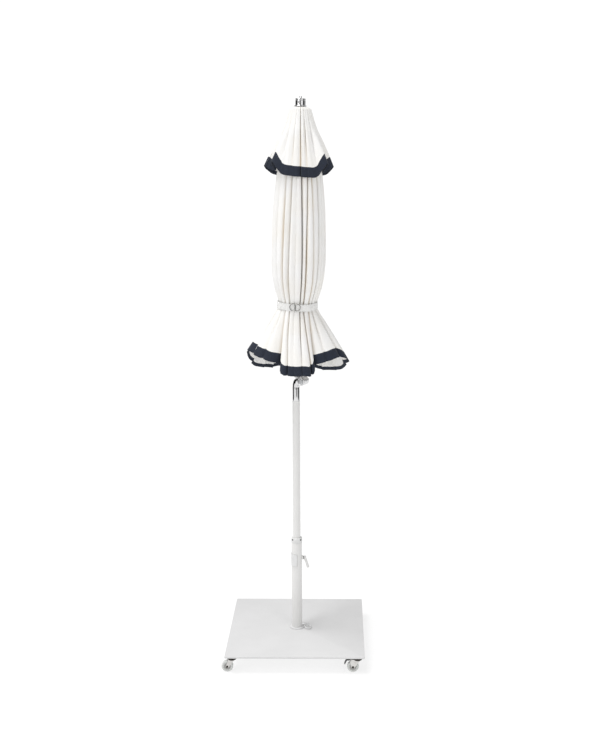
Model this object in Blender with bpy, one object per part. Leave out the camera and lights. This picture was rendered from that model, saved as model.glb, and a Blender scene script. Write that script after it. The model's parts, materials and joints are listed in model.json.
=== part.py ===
"""Patio umbrella, furled and strapped, in a square steel base on four swivel casters.

Metres, +Z up. The origin is on the ground, under the pole's centre line. -Y is the front.
Each sub-part is one named object. What turns or slides hangs from an empty on its joint's axis.
"""

import math

import bmesh
import bpy
from mathutils import Matrix, Vector

# Clearances
GAP = 0.0003  # between two pieces that touch, or one that runs in the other
WELD = 0.0010  # how far shapes joined into one piece run into each other
CUT_OVER = 0.0020  # how far a cutter passes the wall that it cuts

# Base plate
PLATE_SIDE = 0.600
PLATE_THICKNESS = 0.008
PLATE_CORNER = 0.004

# Casters
CASTER_HEIGHT = 0.072
CASTER_INSET = 0.030
CASTER_TRAIL = 0.020
WHEEL_RADIUS = 0.025
WHEEL_WIDTH = 0.020
TYRE_DEPTH = 0.0090
RIM_DEPTH = 0.0020
MOUNT_SIDE = 0.046
MOUNT_THICKNESS = 0.0027
RACE_RADIUS = 0.020
RACE_DEPTH = 0.0055
CROWN_DEPTH = 0.0076
KINGPIN_RADIUS = 0.004
RIVET_RADIUS = 0.0062
RIVET_DEPTH = 0.0020
LEG_THICKNESS = 0.0020
LEG_CLEARANCE = 0.0010
AXLE_RADIUS = 0.003
AXLE_HEAD = 0.0055
PEDAL_AHEAD = 0.010  # the pedal's hinge, further along the trail than the axle
PEDAL_DROP = 0.016
PEDAL_PIN = 0.0022
PEDAL_REACH = 0.026
PEDAL_THICKNESS = 0.0028
PEDAL_EDGE = 0.0004

# Stem: the tube that stands on the plate
STEM_PLAY = 0.0035  # between the pole and the stem's bore, which the collar's liner fills at the top
STEM_WALL = 0.003
STEM_HEIGHT = 0.429
FLANGE_RADIUS = 0.034
FLANGE_THICKNESS = 0.004
SPIGOT_HEIGHT = 0.090
SPIGOT_WALL = 0.003
BOLT_RADIUS = 0.005
BOLT_HEAD_RADIUS = 0.0090
BOLT_HEAD_HEIGHT = 0.0050
NUT_RADIUS = 0.0085
NUT_HEIGHT = 0.0055
COLLAR_HEIGHT = 0.024
COLLAR_LIP = 0.0010
COLLAR_CHAMFER = 0.0025
LINER_DEPTH = 0.025
SCREW_RADIUS = 0.0020
SCREW_HEAD_RADIUS = 0.0034
SCREW_HEAD_HEIGHT = 0.0014
SCREW_HEADING = math.radians(48)  # each screw's turn from the front
INFO_PLATE_HEIGHT = 0.055
INFO_PLATE_THICKNESS = 0.0012
INFO_PLATE_BELOW_TOP = 0.076
INFO_PLATE_START = math.radians(168)
INFO_PLATE_END = math.radians(274)

# Clamp on the stem's right side
CLAMP_BELOW_TOP = 0.097
BOSS_RADIUS = 0.009
BOSS_LENGTH = 0.0070
STUD_RADIUS = 0.005
HANDLE_HUB_RADIUS = 0.0085
HANDLE_HUB_LENGTH = 0.0115
HANDLE_REACH_OUT = 0.015
HANDLE_REACH_DOWN = 0.046
HANDLE_THICKNESS = 0.0055
HANDLE_TAPER = 0.85

# Lock pin and its pull ring, at the stem's foot
PIN_HEADING = math.radians(-20)
PIN_ABOVE_PLATE = 0.0170
PIN_RADIUS = 0.003
PIN_FAR_END = 0.0020
PIN_NEAR_END = 0.0100
EYE_RADIUS = 0.0050
EYE_HOLE = 0.0026
EYE_THICKNESS = 0.0030
RING_RADIUS = 0.017
RING_WIRE = 0.0015
RING_ABOVE_PLATE = 0.0005

# Poles
POLE_RADIUS = 0.0165
POLE_WALL = 0.002
POLE_EXPOSED = 0.624
POLE_HEADING = math.radians(-30)  # the side that the canopy tilts to, from +X
UPPER_POLE_LENGTH = 1.0524
FOOT_PLUG_HEIGHT = 0.030
FOOT_PLUG_RIM = 0.012

# Tilt joint
SLEEVE_LENGTH = 0.062
PLUG_LENGTH = 0.050
KNUCKLE_RISE = 0.030
KNUCKLE_OFFSET = 0.036
KNUCKLE_RADIUS = 0.018
KNUCKLE_WIDTH = 0.021  # of each of its two halves
TILT_PIN_RADIUS = 0.005
REST_LEAN = math.radians(1.3)  # the joint's play lets the upper pole rest this far off plumb
CAP_RADIUS = 0.0120
CAP_THICKNESS = 0.0030
BUTTON_RADIUS = 0.0115
BUTTON_LENGTH = 0.0070
BUTTON_PROUD = 0.0035
BUTTON_RECESS = 0.0085

# Canopy frame, with heights taken down from the pole's top
RIB_COUNT = 8
RIB_RADIUS = 0.005
RIB_ROOT_DROP = 0.046
RIB_ROOT_RADIUS = 0.030
RIB_TIP_DROP = 1.020
RIB_TIP_RADIUS = 0.072
RIB_HEADING = math.radians(22.5)
STRETCHER_RADIUS = 0.004
STRETCHER_LENGTH = 0.600
STRETCHER_GAP = 0.0006
HUB_RADIUS = 0.034
HUB_TOP_DROP = 0.036
HUB_HEIGHT = 0.024
SLOT_FLOOR = 0.0225  # the radius that a slot starts at
RUNNER_DISC_HEIGHT = 0.024
RUNNER_SLEEVE_WALL = 0.0032
RUNNER_SLEEVE_BELOW = 0.040
RUNNER_SLEEVE_ABOVE = 0.012

# Finial
FINIAL_FLANGE_RADIUS = 0.0260
FINIAL_FLANGE_HEIGHT = 0.0035
FINIAL_RADIUS = 0.0215
FINIAL_HEIGHT = 0.031
NUB_RADIUS = 0.005
NUB_HEIGHT = 0.010
FINIAL_STUD_LENGTH = 0.025

# Fabric, as (drop below the pole's top, outer radius)
FABRIC_WALL = 0.006
VENT_OUTLINE = (
    (0.002, 0.031),
    (0.030, 0.046),
    (0.090, 0.066),
    (0.150, 0.098),
    (0.180, 0.122),
    (0.210, 0.142),
    (0.235, 0.146),
    (0.262, 0.140),
    (0.285, 0.124),
)
CANOPY_OUTLINE = (
    (0.190, 0.078),
    (0.230, 0.088),
    (0.330, 0.092),
    (0.430, 0.101),
    (0.600, 0.107),
    (0.740, 0.103),
    (0.770, 0.095),
    (0.800, 0.0835),
    (0.845, 0.0835),
    (0.870, 0.108),
    (0.930, 0.152),
    (0.990, 0.205),
    (1.015, 0.216),
    (1.045, 0.214),
    (1.075, 0.200),
    (1.100, 0.180),
)
STRAP_DROP = 0.822
STRAP_WIDTH = 0.028
STRAP_THICKNESS = 0.0025
STRAP_GAP = 0.0010
BUCKLE_RADIUS = 0.0120
BUCKLE_WIRE = 0.0014
BUCKLE_HEADING = math.radians(-100)
BUCKLE_STAGGER = 0.0040

# Facets in a full turn
ROUND = 32
SMALL_ROUND = 16
WIRE_ROUND = 8
COARSE_ROUND = 6
SHARP_ANGLE = math.radians(35)
MERGE = 0.00001

# What follows from the sizes above
PLATE_TOP = CASTER_HEIGHT + PLATE_THICKNESS
STEM_TOP = PLATE_TOP + STEM_HEIGHT
STEM_BORE = POLE_RADIUS + STEM_PLAY
STEM_RADIUS = STEM_BORE + STEM_WALL
SEAT_Z = PLATE_TOP + GAP + FLANGE_THICKNESS
SPIGOT_TOP = SEAT_Z + SPIGOT_HEIGHT
CLAMP_Z = STEM_TOP - CLAMP_BELOW_TOP
PIN_Z = PLATE_TOP + PIN_ABOVE_PLATE
POLE_BORE = POLE_RADIUS - POLE_WALL
LOWER_POLE_TOP = STEM_TOP + POLE_EXPOSED
KNUCKLE_Z = LOWER_POLE_TOP + GAP + SLEEVE_LENGTH + KNUCKLE_RISE
UPPER_POLE_BOTTOM = KNUCKLE_Z + KNUCKLE_RISE + SLEEVE_LENGTH + GAP
POLE_TOP = UPPER_POLE_BOTTOM + UPPER_POLE_LENGTH
WHEEL_DROP = CASTER_HEIGHT - WHEEL_RADIUS


def clear_scene():
    """Remove every object that the session starts with."""
    for obj in list(bpy.data.objects):
        bpy.data.objects.remove(obj)


def make_material(name, colour, roughness, metallic=0.0):
    """A Principled material of one colour."""
    made = bpy.data.materials.new(name)
    made.use_nodes = True
    shader = made.node_tree.nodes["Principled BSDF"]
    shader.inputs["Base Color"].default_value = (*colour, 1.0)
    shader.inputs["Roughness"].default_value = roughness
    shader.inputs["Metallic"].default_value = metallic
    made.diffuse_color = (*colour, 1.0)
    return made


def lathe(outline, segments=ROUND):
    """Turn a (radius, height) outline once round Z. One that runs from axis to axis stays open."""
    mesh = bmesh.new()
    points = [mesh.verts.new((radius, 0.0, height)) for radius, height in outline]
    edges = [mesh.edges.new(pair) for pair in zip(points, points[1:])]
    if outline[0][0] > 0.0:
        edges.append(mesh.edges.new((points[-1], points[0])))
    bmesh.ops.spin(
        mesh,
        geom=points + edges,
        cent=(0.0, 0.0, 0.0),
        axis=(0.0, 0.0, 1.0),
        angle=math.tau,
        steps=segments,
        use_merge=True,
    )
    bmesh.ops.remove_doubles(mesh, verts=mesh.verts, dist=MERGE)
    bmesh.ops.recalc_face_normals(mesh, faces=mesh.faces)
    return mesh


def rod(radius, low, high, segments=ROUND):
    """A solid cylinder on Z, from one height to another."""
    return lathe([(0.0, low), (radius, low), (radius, high), (0.0, high)], segments)


def tube(inner, outer, low, high, segments=ROUND):
    """A straight tube on Z."""
    return lathe([(inner, low), (outer, low), (outer, high), (inner, high)], segments)


def block(low, high):
    """A box between two opposite corners."""
    size = Vector(high) - Vector(low)
    middle = (Vector(high) + Vector(low)) / 2
    mesh = bmesh.new()
    bmesh.ops.create_cube(mesh, size=1.0, matrix=Matrix.Translation(middle) @ Matrix.Diagonal((*size, 1.0)))
    return mesh


def torus(radius, wire, segments=ROUND, around=WIRE_ROUND):
    """A ring of round wire in the XY plane."""
    outline = [
        (radius + wire * math.cos(math.tau * i / around), wire * math.sin(math.tau * i / around))
        for i in range(around)
    ]
    return lathe(outline, segments)


def circle(centre, radius, across, up, count):
    """Points round a circle, on the two unit directions given."""
    turns = [math.tau * i / count for i in range(count)]
    return [
        Vector(centre) + Vector(across) * radius * math.cos(a) + Vector(up) * radius * math.sin(a)
        for a in turns
    ]


def hull(points):
    """The convex solid round some points."""
    mesh = bmesh.new()
    for point in points:
        mesh.verts.new(point)
    made = bmesh.ops.convex_hull(mesh, input=mesh.verts)
    spare = {v for v in made["geom_interior"] + made["geom_unused"] if isinstance(v, bmesh.types.BMVert)}
    bmesh.ops.delete(mesh, geom=list(spare), context="VERTS")
    bmesh.ops.recalc_face_normals(mesh, faces=mesh.faces)
    return mesh


def prism(outline, half_width):
    """A solid of one (x, z) outline, as wide to each side of the XZ plane."""
    mesh = bmesh.new()
    face = mesh.faces.new([mesh.verts.new((x, -half_width, z)) for x, z in outline])
    grown = bmesh.ops.extrude_face_region(mesh, geom=[face])
    moved = [item for item in grown["geom"] if isinstance(item, bmesh.types.BMVert)]
    bmesh.ops.translate(mesh, vec=(0.0, 2 * half_width, 0.0), verts=moved)
    bmesh.ops.recalc_face_normals(mesh, faces=mesh.faces)
    return mesh


def aim(direction):
    """The turn that takes +Z to a direction."""
    return Vector(direction).to_track_quat("Z", "Y").to_euler()


def heading(angle):
    """The level unit direction at an angle from +X."""
    return Vector((math.cos(angle), math.sin(angle), 0.0))


def add(name, mesh, material=None, parent=None, location=(0.0, 0.0, 0.0), rotation=(0.0, 0.0, 0.0)):
    """Make a named object of a mesh, smooth on its round faces, and place it."""
    data = bpy.data.meshes.new(name)
    mesh.to_mesh(data)
    mesh.free()
    data.shade_smooth()
    data.set_sharp_from_angle(angle=SHARP_ANGLE)
    if material is not None:
        data.materials.append(material)
    obj = bpy.data.objects.new(name, data)
    bpy.context.scene.collection.objects.link(obj)
    obj.parent = parent
    obj.location = location
    obj.rotation_euler = rotation
    return obj


def axis_empty(name, parent=None, location=(0.0, 0.0, 0.0), rotation=(0.0, 0.0, 0.0)):
    """An empty that stands on a joint's axis."""
    obj = bpy.data.objects.new(name, None)
    bpy.context.scene.collection.objects.link(obj)
    obj.parent = parent
    obj.location = location
    obj.rotation_euler = rotation
    return obj


def combine(target, operation, name, mesh, location=(0.0, 0.0, 0.0), rotation=(0.0, 0.0, 0.0)):
    """Cut a mesh from an object, or join it on, with an exact Boolean."""
    tool = add(name, mesh, None, target.parent, location, rotation)
    tool.hide_render = True
    tool.display_type = "WIRE"
    step = target.modifiers.new(name, "BOOLEAN")
    step.operation = operation
    step.solver = "EXACT"
    step.object = tool


def build_plate(steel):
    """The base plate, with its corners rounded and a hole for the foot bolt."""
    half = PLATE_SIDE / 2
    mesh = block((-half, -half, CASTER_HEIGHT), (half, half, PLATE_TOP))
    upright = [e for e in mesh.edges if abs(e.verts[0].co.z - e.verts[1].co.z) > PLATE_THICKNESS / 2]
    bmesh.ops.bevel(
        mesh,
        geom=upright,
        offset=PLATE_CORNER,
        segments=3,
        profile=0.5,
        affect="EDGES",
        material=-1,
    )
    plate = add("base_plate", mesh, steel)
    hole = rod(BOLT_RADIUS + GAP, CASTER_HEIGHT - CUT_OVER, PLATE_TOP + CUT_OVER, SMALL_ROUND)
    combine(plate, "DIFFERENCE", "plate_hole", hole)


def build_foot(painted, zinc):
    """The spigot that locates the stem, with its welded nut, and the bolt that holds it to the plate."""
    spigot_radius = STEM_BORE - GAP
    hole = BOLT_RADIUS + GAP
    low = PLATE_TOP + GAP
    nut_top = SEAT_Z + NUT_HEIGHT
    outline = [
        (hole, low),
        (FLANGE_RADIUS, low),
        (FLANGE_RADIUS, SEAT_Z),
        (spigot_radius, SEAT_Z),
        (spigot_radius, SPIGOT_TOP),
        (spigot_radius - SPIGOT_WALL, SPIGOT_TOP),
        (spigot_radius - SPIGOT_WALL, SEAT_Z),
        (NUT_RADIUS, SEAT_Z),
        (NUT_RADIUS, nut_top),
        (hole, nut_top),
    ]
    spigot = add("foot_spigot", lathe(outline), painted)
    combine(spigot, "DIFFERENCE", "spigot_pin_hole", *pin_hole())
    head_top = CASTER_HEIGHT - GAP
    bolt_top = nut_top + BOLT_RADIUS / 5
    bolt = [
        (0.0, head_top - BOLT_HEAD_HEIGHT),
        (BOLT_HEAD_RADIUS, head_top - BOLT_HEAD_HEIGHT),
        (BOLT_HEAD_RADIUS, head_top),
        (BOLT_RADIUS, head_top),
        (BOLT_RADIUS, bolt_top),
        (0.0, bolt_top),
    ]
    add("foot_bolt", lathe(bolt, SMALL_ROUND), zinc)


def pin_hole():
    """The cutter for the lock pin's hole through the stem and the spigot, with its place and turn."""
    reach = STEM_RADIUS + CUT_OVER
    hole = rod(PIN_RADIUS + GAP, -reach, reach, SMALL_ROUND)
    return hole, (0.0, 0.0, PIN_Z), aim(heading(PIN_HEADING))


def build_stem(painted, plastic, dark):
    """The stem tube with its clamp boss, the plastic collar with two screws, and the blank plate."""
    collar_low = STEM_TOP - COLLAR_HEIGHT
    stem = add("stem_tube", tube(STEM_BORE, STEM_RADIUS, SEAT_Z + GAP, collar_low - GAP), painted)
    combine(stem, "DIFFERENCE", "stem_pin_hole", *pin_hole())
    boss_place = ((0.0, 0.0, CLAMP_Z), aim((1, 0, 0)))
    boss = rod(BOSS_RADIUS, STEM_BORE + GAP, STEM_RADIUS + BOSS_LENGTH, SMALL_ROUND)
    combine(stem, "UNION", "stem_boss", boss, *boss_place)
    stud_low = STEM_BORE - CUT_OVER
    stud_high = STEM_RADIUS + BOSS_LENGTH + CUT_OVER
    stud_hole = rod(STUD_RADIUS + GAP, stud_low, stud_high, SMALL_ROUND)
    combine(stem, "DIFFERENCE", "stem_stud_hole", stud_hole, *boss_place)

    bore = POLE_RADIUS + GAP
    liner = STEM_BORE - GAP
    lip = STEM_RADIUS + COLLAR_LIP
    outline = [
        (bore, collar_low - LINER_DEPTH),
        (liner, collar_low - LINER_DEPTH),
        (liner, collar_low),
        (lip, collar_low),
        (lip, STEM_TOP - COLLAR_CHAMFER),
        (lip - COLLAR_CHAMFER, STEM_TOP),
        (bore, STEM_TOP),
    ]
    collar = add("stem_collar", lathe(outline), plastic)
    screw_z = STEM_TOP - COLLAR_HEIGHT / 3
    screw = [
        (0.0, bore + GAP),
        (SCREW_RADIUS, bore + GAP),
        (SCREW_RADIUS, lip + GAP),
        (SCREW_HEAD_RADIUS, lip + GAP),
        (SCREW_HEAD_RADIUS, lip + GAP + SCREW_HEAD_HEIGHT),
        (0.0, lip + GAP + SCREW_HEAD_HEIGHT),
    ]
    front = -math.pi / 2
    for side, angle in (("left", front - SCREW_HEADING), ("right", front + SCREW_HEADING)):
        place = ((0.0, 0.0, screw_z), aim(heading(angle)))
        hole = rod(SCREW_RADIUS + GAP, bore - CUT_OVER, lip + CUT_OVER, SMALL_ROUND)
        combine(collar, "DIFFERENCE", f"collar_hole_{side}", hole, *place)
        add(f"collar_screw_{side}", lathe(screw, SMALL_ROUND), dark, None, *place)

    top = STEM_TOP - INFO_PLATE_BELOW_TOP
    inner = STEM_RADIUS + GAP
    corners = [(r, z) for r, z in ((0, -1), (1, -1), (1, 0), (0, 0))]
    mesh = bmesh.new()
    face = mesh.faces.new(
        [
            mesh.verts.new((inner + r * INFO_PLATE_THICKNESS, 0.0, top + z * INFO_PLATE_HEIGHT))
            for r, z in corners
        ]
    )
    bmesh.ops.rotate(
        mesh, verts=mesh.verts, cent=(0, 0, 0), matrix=Matrix.Rotation(INFO_PLATE_START, 3, "Z")
    )
    bmesh.ops.spin(
        mesh,
        geom=[face, *face.edges, *face.verts],
        cent=(0.0, 0.0, 0.0),
        axis=(0.0, 0.0, 1.0),
        angle=INFO_PLATE_END - INFO_PLATE_START,
        steps=SMALL_ROUND,
    )
    bmesh.ops.recalc_face_normals(mesh, faces=mesh.faces)
    add("info_plate", mesh, plastic)


def build_clamp(painted):
    """The clamp handle on the right of the stem, whose stud bears on the pole inside."""
    right = aim((1, 0, 0))
    turn = axis_empty("clamp_axis", None, (0.0, 0.0, CLAMP_Z))
    hub_low = STEM_RADIUS + BOSS_LENGTH + GAP
    hub_high = hub_low + HANDLE_HUB_LENGTH
    hub = [
        (0.0, POLE_RADIUS + GAP),
        (STUD_RADIUS, POLE_RADIUS + GAP),
        (STUD_RADIUS, hub_low),
        (HANDLE_HUB_RADIUS, hub_low),
        (HANDLE_HUB_RADIUS, hub_high),
        (0.0, hub_high),
    ]
    handle = add("clamp_handle", lathe(hub, SMALL_ROUND), painted, turn, rotation=right)
    start = Vector(((hub_low + hub_high) / 2 + GAP, 0.0, -GAP))
    tip = start + Vector((HANDLE_REACH_OUT, 0.0, -HANDLE_REACH_DOWN))
    along = (tip - start).normalized()
    side = Vector((0.0, 1.0, 0.0))
    thick = along.cross(side)
    points = [
        centre + offset
        for centre, radius in ((start, HANDLE_THICKNESS), (tip, HANDLE_THICKNESS * HANDLE_TAPER))
        for lift, share in ((-0.6, 0.75), (0.0, 1.0), (0.6, 0.75))
        for offset in circle(along * lift * radius, radius * share, side, thick, SMALL_ROUND)
    ]
    combine(handle, "UNION", "handle_arm", hull(points))


def build_lock_pin(zinc):
    """The pin through the stem's foot, and the pull ring in its eye, leaning on the plate."""
    out = heading(PIN_HEADING)
    across = heading(PIN_HEADING + math.pi / 2)
    slide = axis_empty("lock_pin_axis", None, (0.0, 0.0, PIN_Z))
    near = STEM_RADIUS + PIN_NEAR_END
    eye_at = near + EYE_RADIUS - WELD
    pin = add(
        "lock_pin",
        rod(PIN_RADIUS, -STEM_RADIUS - PIN_FAR_END, near, SMALL_ROUND),
        zinc,
        slide,
        rotation=aim(out),
    )
    eye = rod(EYE_RADIUS, -EYE_THICKNESS / 2, EYE_THICKNESS / 2, SMALL_ROUND)
    combine(pin, "UNION", "pin_eye", eye, out * eye_at, aim(across))
    hole = rod(EYE_HOLE, -EYE_THICKNESS, EYE_THICKNESS, SMALL_ROUND)
    combine(pin, "DIFFERENCE", "pin_eye_hole", hole, out * eye_at, aim(across))

    drop = PIN_ABOVE_PLATE - RING_WIRE - RING_ABOVE_PLATE
    lean = math.asin(drop / (2 * RING_RADIUS))
    swing = axis_empty("pull_ring_axis", slide, out * eye_at)
    reach = out * math.cos(lean) - Vector((0.0, 0.0, math.sin(lean)))
    add(
        "pull_ring",
        torus(RING_RADIUS, RING_WIRE),
        zinc,
        swing,
        reach * RING_RADIUS,
        aim(reach.cross(across)),
    )


def leg_points(side, trail, braked):
    """One leg of a caster's fork: a flat plate from the crown down to the axle."""
    inner = WHEEL_WIDTH / 2 + LEG_CLEARANCE
    crown_mid = -(GAP + MOUNT_THICKNESS + RACE_DEPTH + GAP + CROWN_DEPTH / 2)
    points = []
    for y in (side * inner, side * (inner + LEG_THICKNESS)):
        points += [Vector((RACE_RADIUS * 0.55, y, crown_mid)), Vector((-RACE_RADIUS * 0.65, y, crown_mid))]
        points += circle((-trail, y, -WHEEL_DROP), AXLE_HEAD * 1.2, (1, 0, 0), (0, 0, 1), SMALL_ROUND)
        if braked:
            hinge = (-trail - PEDAL_AHEAD, y, -PEDAL_DROP)
            points += circle(hinge, PEDAL_PIN * 2, (1, 0, 0), (0, 0, 1), SMALL_ROUND)
    return points


def build_caster(label, x, y, turn, braked, chrome, rim_grey, tyre_clear, dark):
    """One swivel caster, turned from trailing along -X, with a brake pedal over the trail if braked."""
    corner = (x, y, CASTER_HEIGHT)
    half = MOUNT_SIDE / 2
    mount_low = -GAP - MOUNT_THICKNESS
    race_low = mount_low - RACE_DEPTH
    crown_high = race_low - GAP
    crown_low = crown_high - CROWN_DEPTH
    rivet_high = crown_low - GAP
    mount = add(f"caster_{label}_mount", block((-half, -half, mount_low), (half, half, -GAP)), chrome, None, corner)
    post = [
        (0.0, rivet_high - RIVET_DEPTH),
        (RIVET_RADIUS, rivet_high - RIVET_DEPTH),
        (RIVET_RADIUS, rivet_high),
        (KINGPIN_RADIUS, rivet_high),
        (KINGPIN_RADIUS, race_low),
        (RACE_RADIUS, race_low),
        (RACE_RADIUS, mount_low + WELD),
        (0.0, mount_low + WELD),
    ]
    combine(mount, "UNION", f"caster_{label}_post", lathe(post), corner)

    swivel = axis_empty(f"caster_{label}_swivel_axis", None, corner, (0.0, 0.0, turn))
    crown = [
        (KINGPIN_RADIUS + GAP, crown_low),
        (RACE_RADIUS * 0.92, crown_low),
        (RACE_RADIUS, (crown_low + crown_high) / 2),
        (RACE_RADIUS, crown_high),
        (KINGPIN_RADIUS + GAP, crown_high),
    ]
    fork = add(f"caster_{label}_fork", lathe(crown), chrome, swivel)
    for side in (-1, 1):
        leg = hull(leg_points(side, CASTER_TRAIL, braked))
        combine(fork, "UNION", f"caster_{label}_leg_{side}", leg)
    back = aim((0, 1, 0))
    reach = WHEEL_WIDTH / 2 + LEG_CLEARANCE + LEG_THICKNESS
    axle_at = Vector((-CASTER_TRAIL, 0.0, -WHEEL_DROP))
    head = reach - WELD
    axle = [
        (0.0, -head - LEG_THICKNESS),
        (AXLE_HEAD, -head - LEG_THICKNESS),
        (AXLE_HEAD, -head),
        (AXLE_RADIUS, -head),
        (AXLE_RADIUS, head),
        (AXLE_HEAD, head),
        (AXLE_HEAD, head + LEG_THICKNESS),
        (0.0, head + LEG_THICKNESS),
    ]
    combine(fork, "UNION", f"caster_{label}_axle", lathe(axle, SMALL_ROUND), axle_at, back)

    spin = axis_empty(f"caster_{label}_wheel_axis", swivel, axle_at)
    width = WHEEL_WIDTH / 2
    bore = AXLE_RADIUS + GAP
    seat = WHEEL_RADIUS - TYRE_DEPTH
    rim = seat - RIM_DEPTH
    web = width / 2
    boss = bore * 2
    hub = [
        (bore, -width),
        (boss, -width),
        (boss, -web),
        (rim, -web),
        (rim, -width),
        (seat - GAP, -width),
        (seat - GAP, width),
        (rim, width),
        (rim, web),
        (boss, web),
        (boss, width),
        (bore, width),
    ]
    add(f"caster_{label}_hub", lathe(hub), rim_grey, spin, rotation=back)
    shoulder = WHEEL_RADIUS - TYRE_DEPTH / 5
    tread = width * 0.8
    tyre = [
        (seat, -width),
        (shoulder, -width),
        (WHEEL_RADIUS, -tread),
        (WHEEL_RADIUS, tread),
        (shoulder, width),
        (seat, width),
    ]
    add(f"caster_{label}_tyre", lathe(tyre), tyre_clear, spin, rotation=back)
    if braked:
        build_pedal(label, fork, swivel, reach, dark)


def build_pedal(label, fork, swivel, reach, dark):
    """A brake pedal hinged between a fork's legs, bent down past the wheel's top."""
    hinge = Vector((-CASTER_TRAIL - PEDAL_AHEAD, 0.0, -PEDAL_DROP))
    back = aim((0, 1, 0))
    hole = rod(PEDAL_PIN + GAP, -reach - CUT_OVER, reach + CUT_OVER, SMALL_ROUND)
    combine(fork, "DIFFERENCE", f"caster_{label}_pedal_hole", hole, hinge, back)
    pivot = axis_empty(f"caster_{label}_pedal_axis", swivel, hinge)
    width = WHEEL_WIDTH / 2 - GAP
    pedal = add(f"caster_{label}_pedal", rod(PEDAL_PIN, -reach, reach, SMALL_ROUND), dark, pivot, rotation=back)
    barrel = rod(PEDAL_PIN + PEDAL_THICKNESS / 2, -width, width, SMALL_ROUND)
    combine(pedal, "UNION", f"caster_{label}_pedal_barrel", barrel, rotation=back)
    half = PEDAL_THICKNESS / 2
    knee = -PEDAL_REACH * 0.65
    toe = -PEDAL_REACH
    toe_drop = PEDAL_REACH * 0.72
    outline = [
        (0.0, half),
        (knee - half / 2, half),
        (toe - half, half - toe_drop),
        (toe + half, -half - toe_drop),
        (knee + half / 2, -half),
        (0.0, -half),
    ]
    combine(pedal, "UNION", f"caster_{label}_pedal_plate", prism(outline, width - PEDAL_EDGE))


def build_lower_pole(painted, plastic, pole):
    """The lower pole, which turns in the stem, and the plug that stands its foot on the spigot."""
    rim_low = SPIGOT_TOP + GAP
    pole_low = rim_low + FOOT_PLUG_RIM + GAP
    add("lower_pole", tube(POLE_BORE, POLE_RADIUS, pole_low, LOWER_POLE_TOP), painted, pole)
    plug_radius = POLE_BORE - GAP
    plug = [
        (0.0, rim_low),
        (STEM_BORE - GAP, rim_low),
        (STEM_BORE - GAP, rim_low + FOOT_PLUG_RIM),
        (plug_radius, rim_low + FOOT_PLUG_RIM),
        (plug_radius, rim_low + FOOT_PLUG_HEIGHT),
        (0.0, rim_low + FOOT_PLUG_HEIGHT),
    ]
    add("pole_foot_plug", lathe(plug), plastic, pole)


def fitting(name, up, chrome, parent):
    """One half of the tilt joint, from the knuckle's centre: up is 1 for the upper half, -1 for the lower.

    A plug sits in the pole, a sleeve carries on its outline, and a half-round neck bends to the knuckle.
    The lower half keeps to the front of the knuckle's middle plane and the upper half to its back.
    """
    sleeve_near = up * KNUCKLE_RISE
    sleeve_far = up * (KNUCKLE_RISE + SLEEVE_LENGTH)
    plug_end = sleeve_far + up * PLUG_LENGTH
    plug_radius = POLE_BORE - GAP
    outline = [
        (0.0, sleeve_near),
        (POLE_RADIUS, sleeve_near),
        (POLE_RADIUS, sleeve_far),
        (plug_radius, sleeve_far),
        (plug_radius, plug_end),
        (0.0, plug_end),
    ]
    at_pole = (-KNUCKLE_OFFSET, 0.0, 0.0)
    half = add(name, lathe(outline), chrome, parent, at_pole)
    face = up * GAP / 2
    outer = up * KNUCKLE_WIDTH
    rings = []
    for z in (sleeve_near, sleeve_near + up * WELD * 2):
        ring = circle((-KNUCKLE_OFFSET, 0.0, z), POLE_RADIUS, (1, 0, 0), (0, 1, 0), ROUND)
        rings += [Vector((p.x, up * max(up * p.y, abs(face)), p.z)) for p in ring]
    for y in (face, outer):
        rings += circle((0.0, y, 0.0), KNUCKLE_RADIUS, (1, 0, 0), (0, 0, 1), ROUND)
    combine(half, "UNION", f"{name}_neck", hull(rings))
    bore = rod(TILT_PIN_RADIUS + GAP, -KNUCKLE_WIDTH - CUT_OVER, KNUCKLE_WIDTH + CUT_OVER, SMALL_ROUND)
    combine(half, "DIFFERENCE", f"{name}_bore", bore, rotation=aim((0, 1, 0)))
    return half


def build_tilt_joint(chrome, dark, pole):
    """The tilt joint: two half fittings, the pin through them, and the sprung button on the front."""
    at_knuckle = (KNUCKLE_OFFSET, 0.0, KNUCKLE_Z)
    fixed = axis_empty("tilt_lower_axis", pole, at_knuckle)
    tilting = axis_empty("tilt_upper_axis", pole, at_knuckle, (0.0, REST_LEAN, 0.0))
    back = aim((0, 1, 0))
    lower = fitting("tilt_socket", -1, chrome, fixed)
    recess_floor = -KNUCKLE_WIDTH + BUTTON_RECESS
    recess = rod(BUTTON_RADIUS + GAP, -KNUCKLE_WIDTH - CUT_OVER, recess_floor)
    combine(lower, "DIFFERENCE", "button_recess", recess, rotation=back)
    fitting("tilt_head", 1, chrome, tilting)

    cap_low = KNUCKLE_WIDTH + GAP
    pin = [
        (0.0, recess_floor + GAP),
        (TILT_PIN_RADIUS, recess_floor + GAP),
        (TILT_PIN_RADIUS, cap_low),
        (CAP_RADIUS, cap_low),
        (CAP_RADIUS, cap_low + CAP_THICKNESS),
        (0.0, cap_low + CAP_THICKNESS),
    ]
    add("tilt_pin", lathe(pin), chrome, fixed, rotation=back)

    press = axis_empty("tilt_button_axis", fixed)
    proud = -KNUCKLE_WIDTH - BUTTON_PROUD
    edge = BUTTON_RADIUS / 10
    button = [
        (0.0, proud),
        (BUTTON_RADIUS - edge, proud),
        (BUTTON_RADIUS, proud + edge),
        (BUTTON_RADIUS, proud + BUTTON_LENGTH),
        (0.0, proud + BUTTON_LENGTH),
    ]
    add("tilt_button", lathe(button), dark, press, rotation=back)
    return tilting


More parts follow.
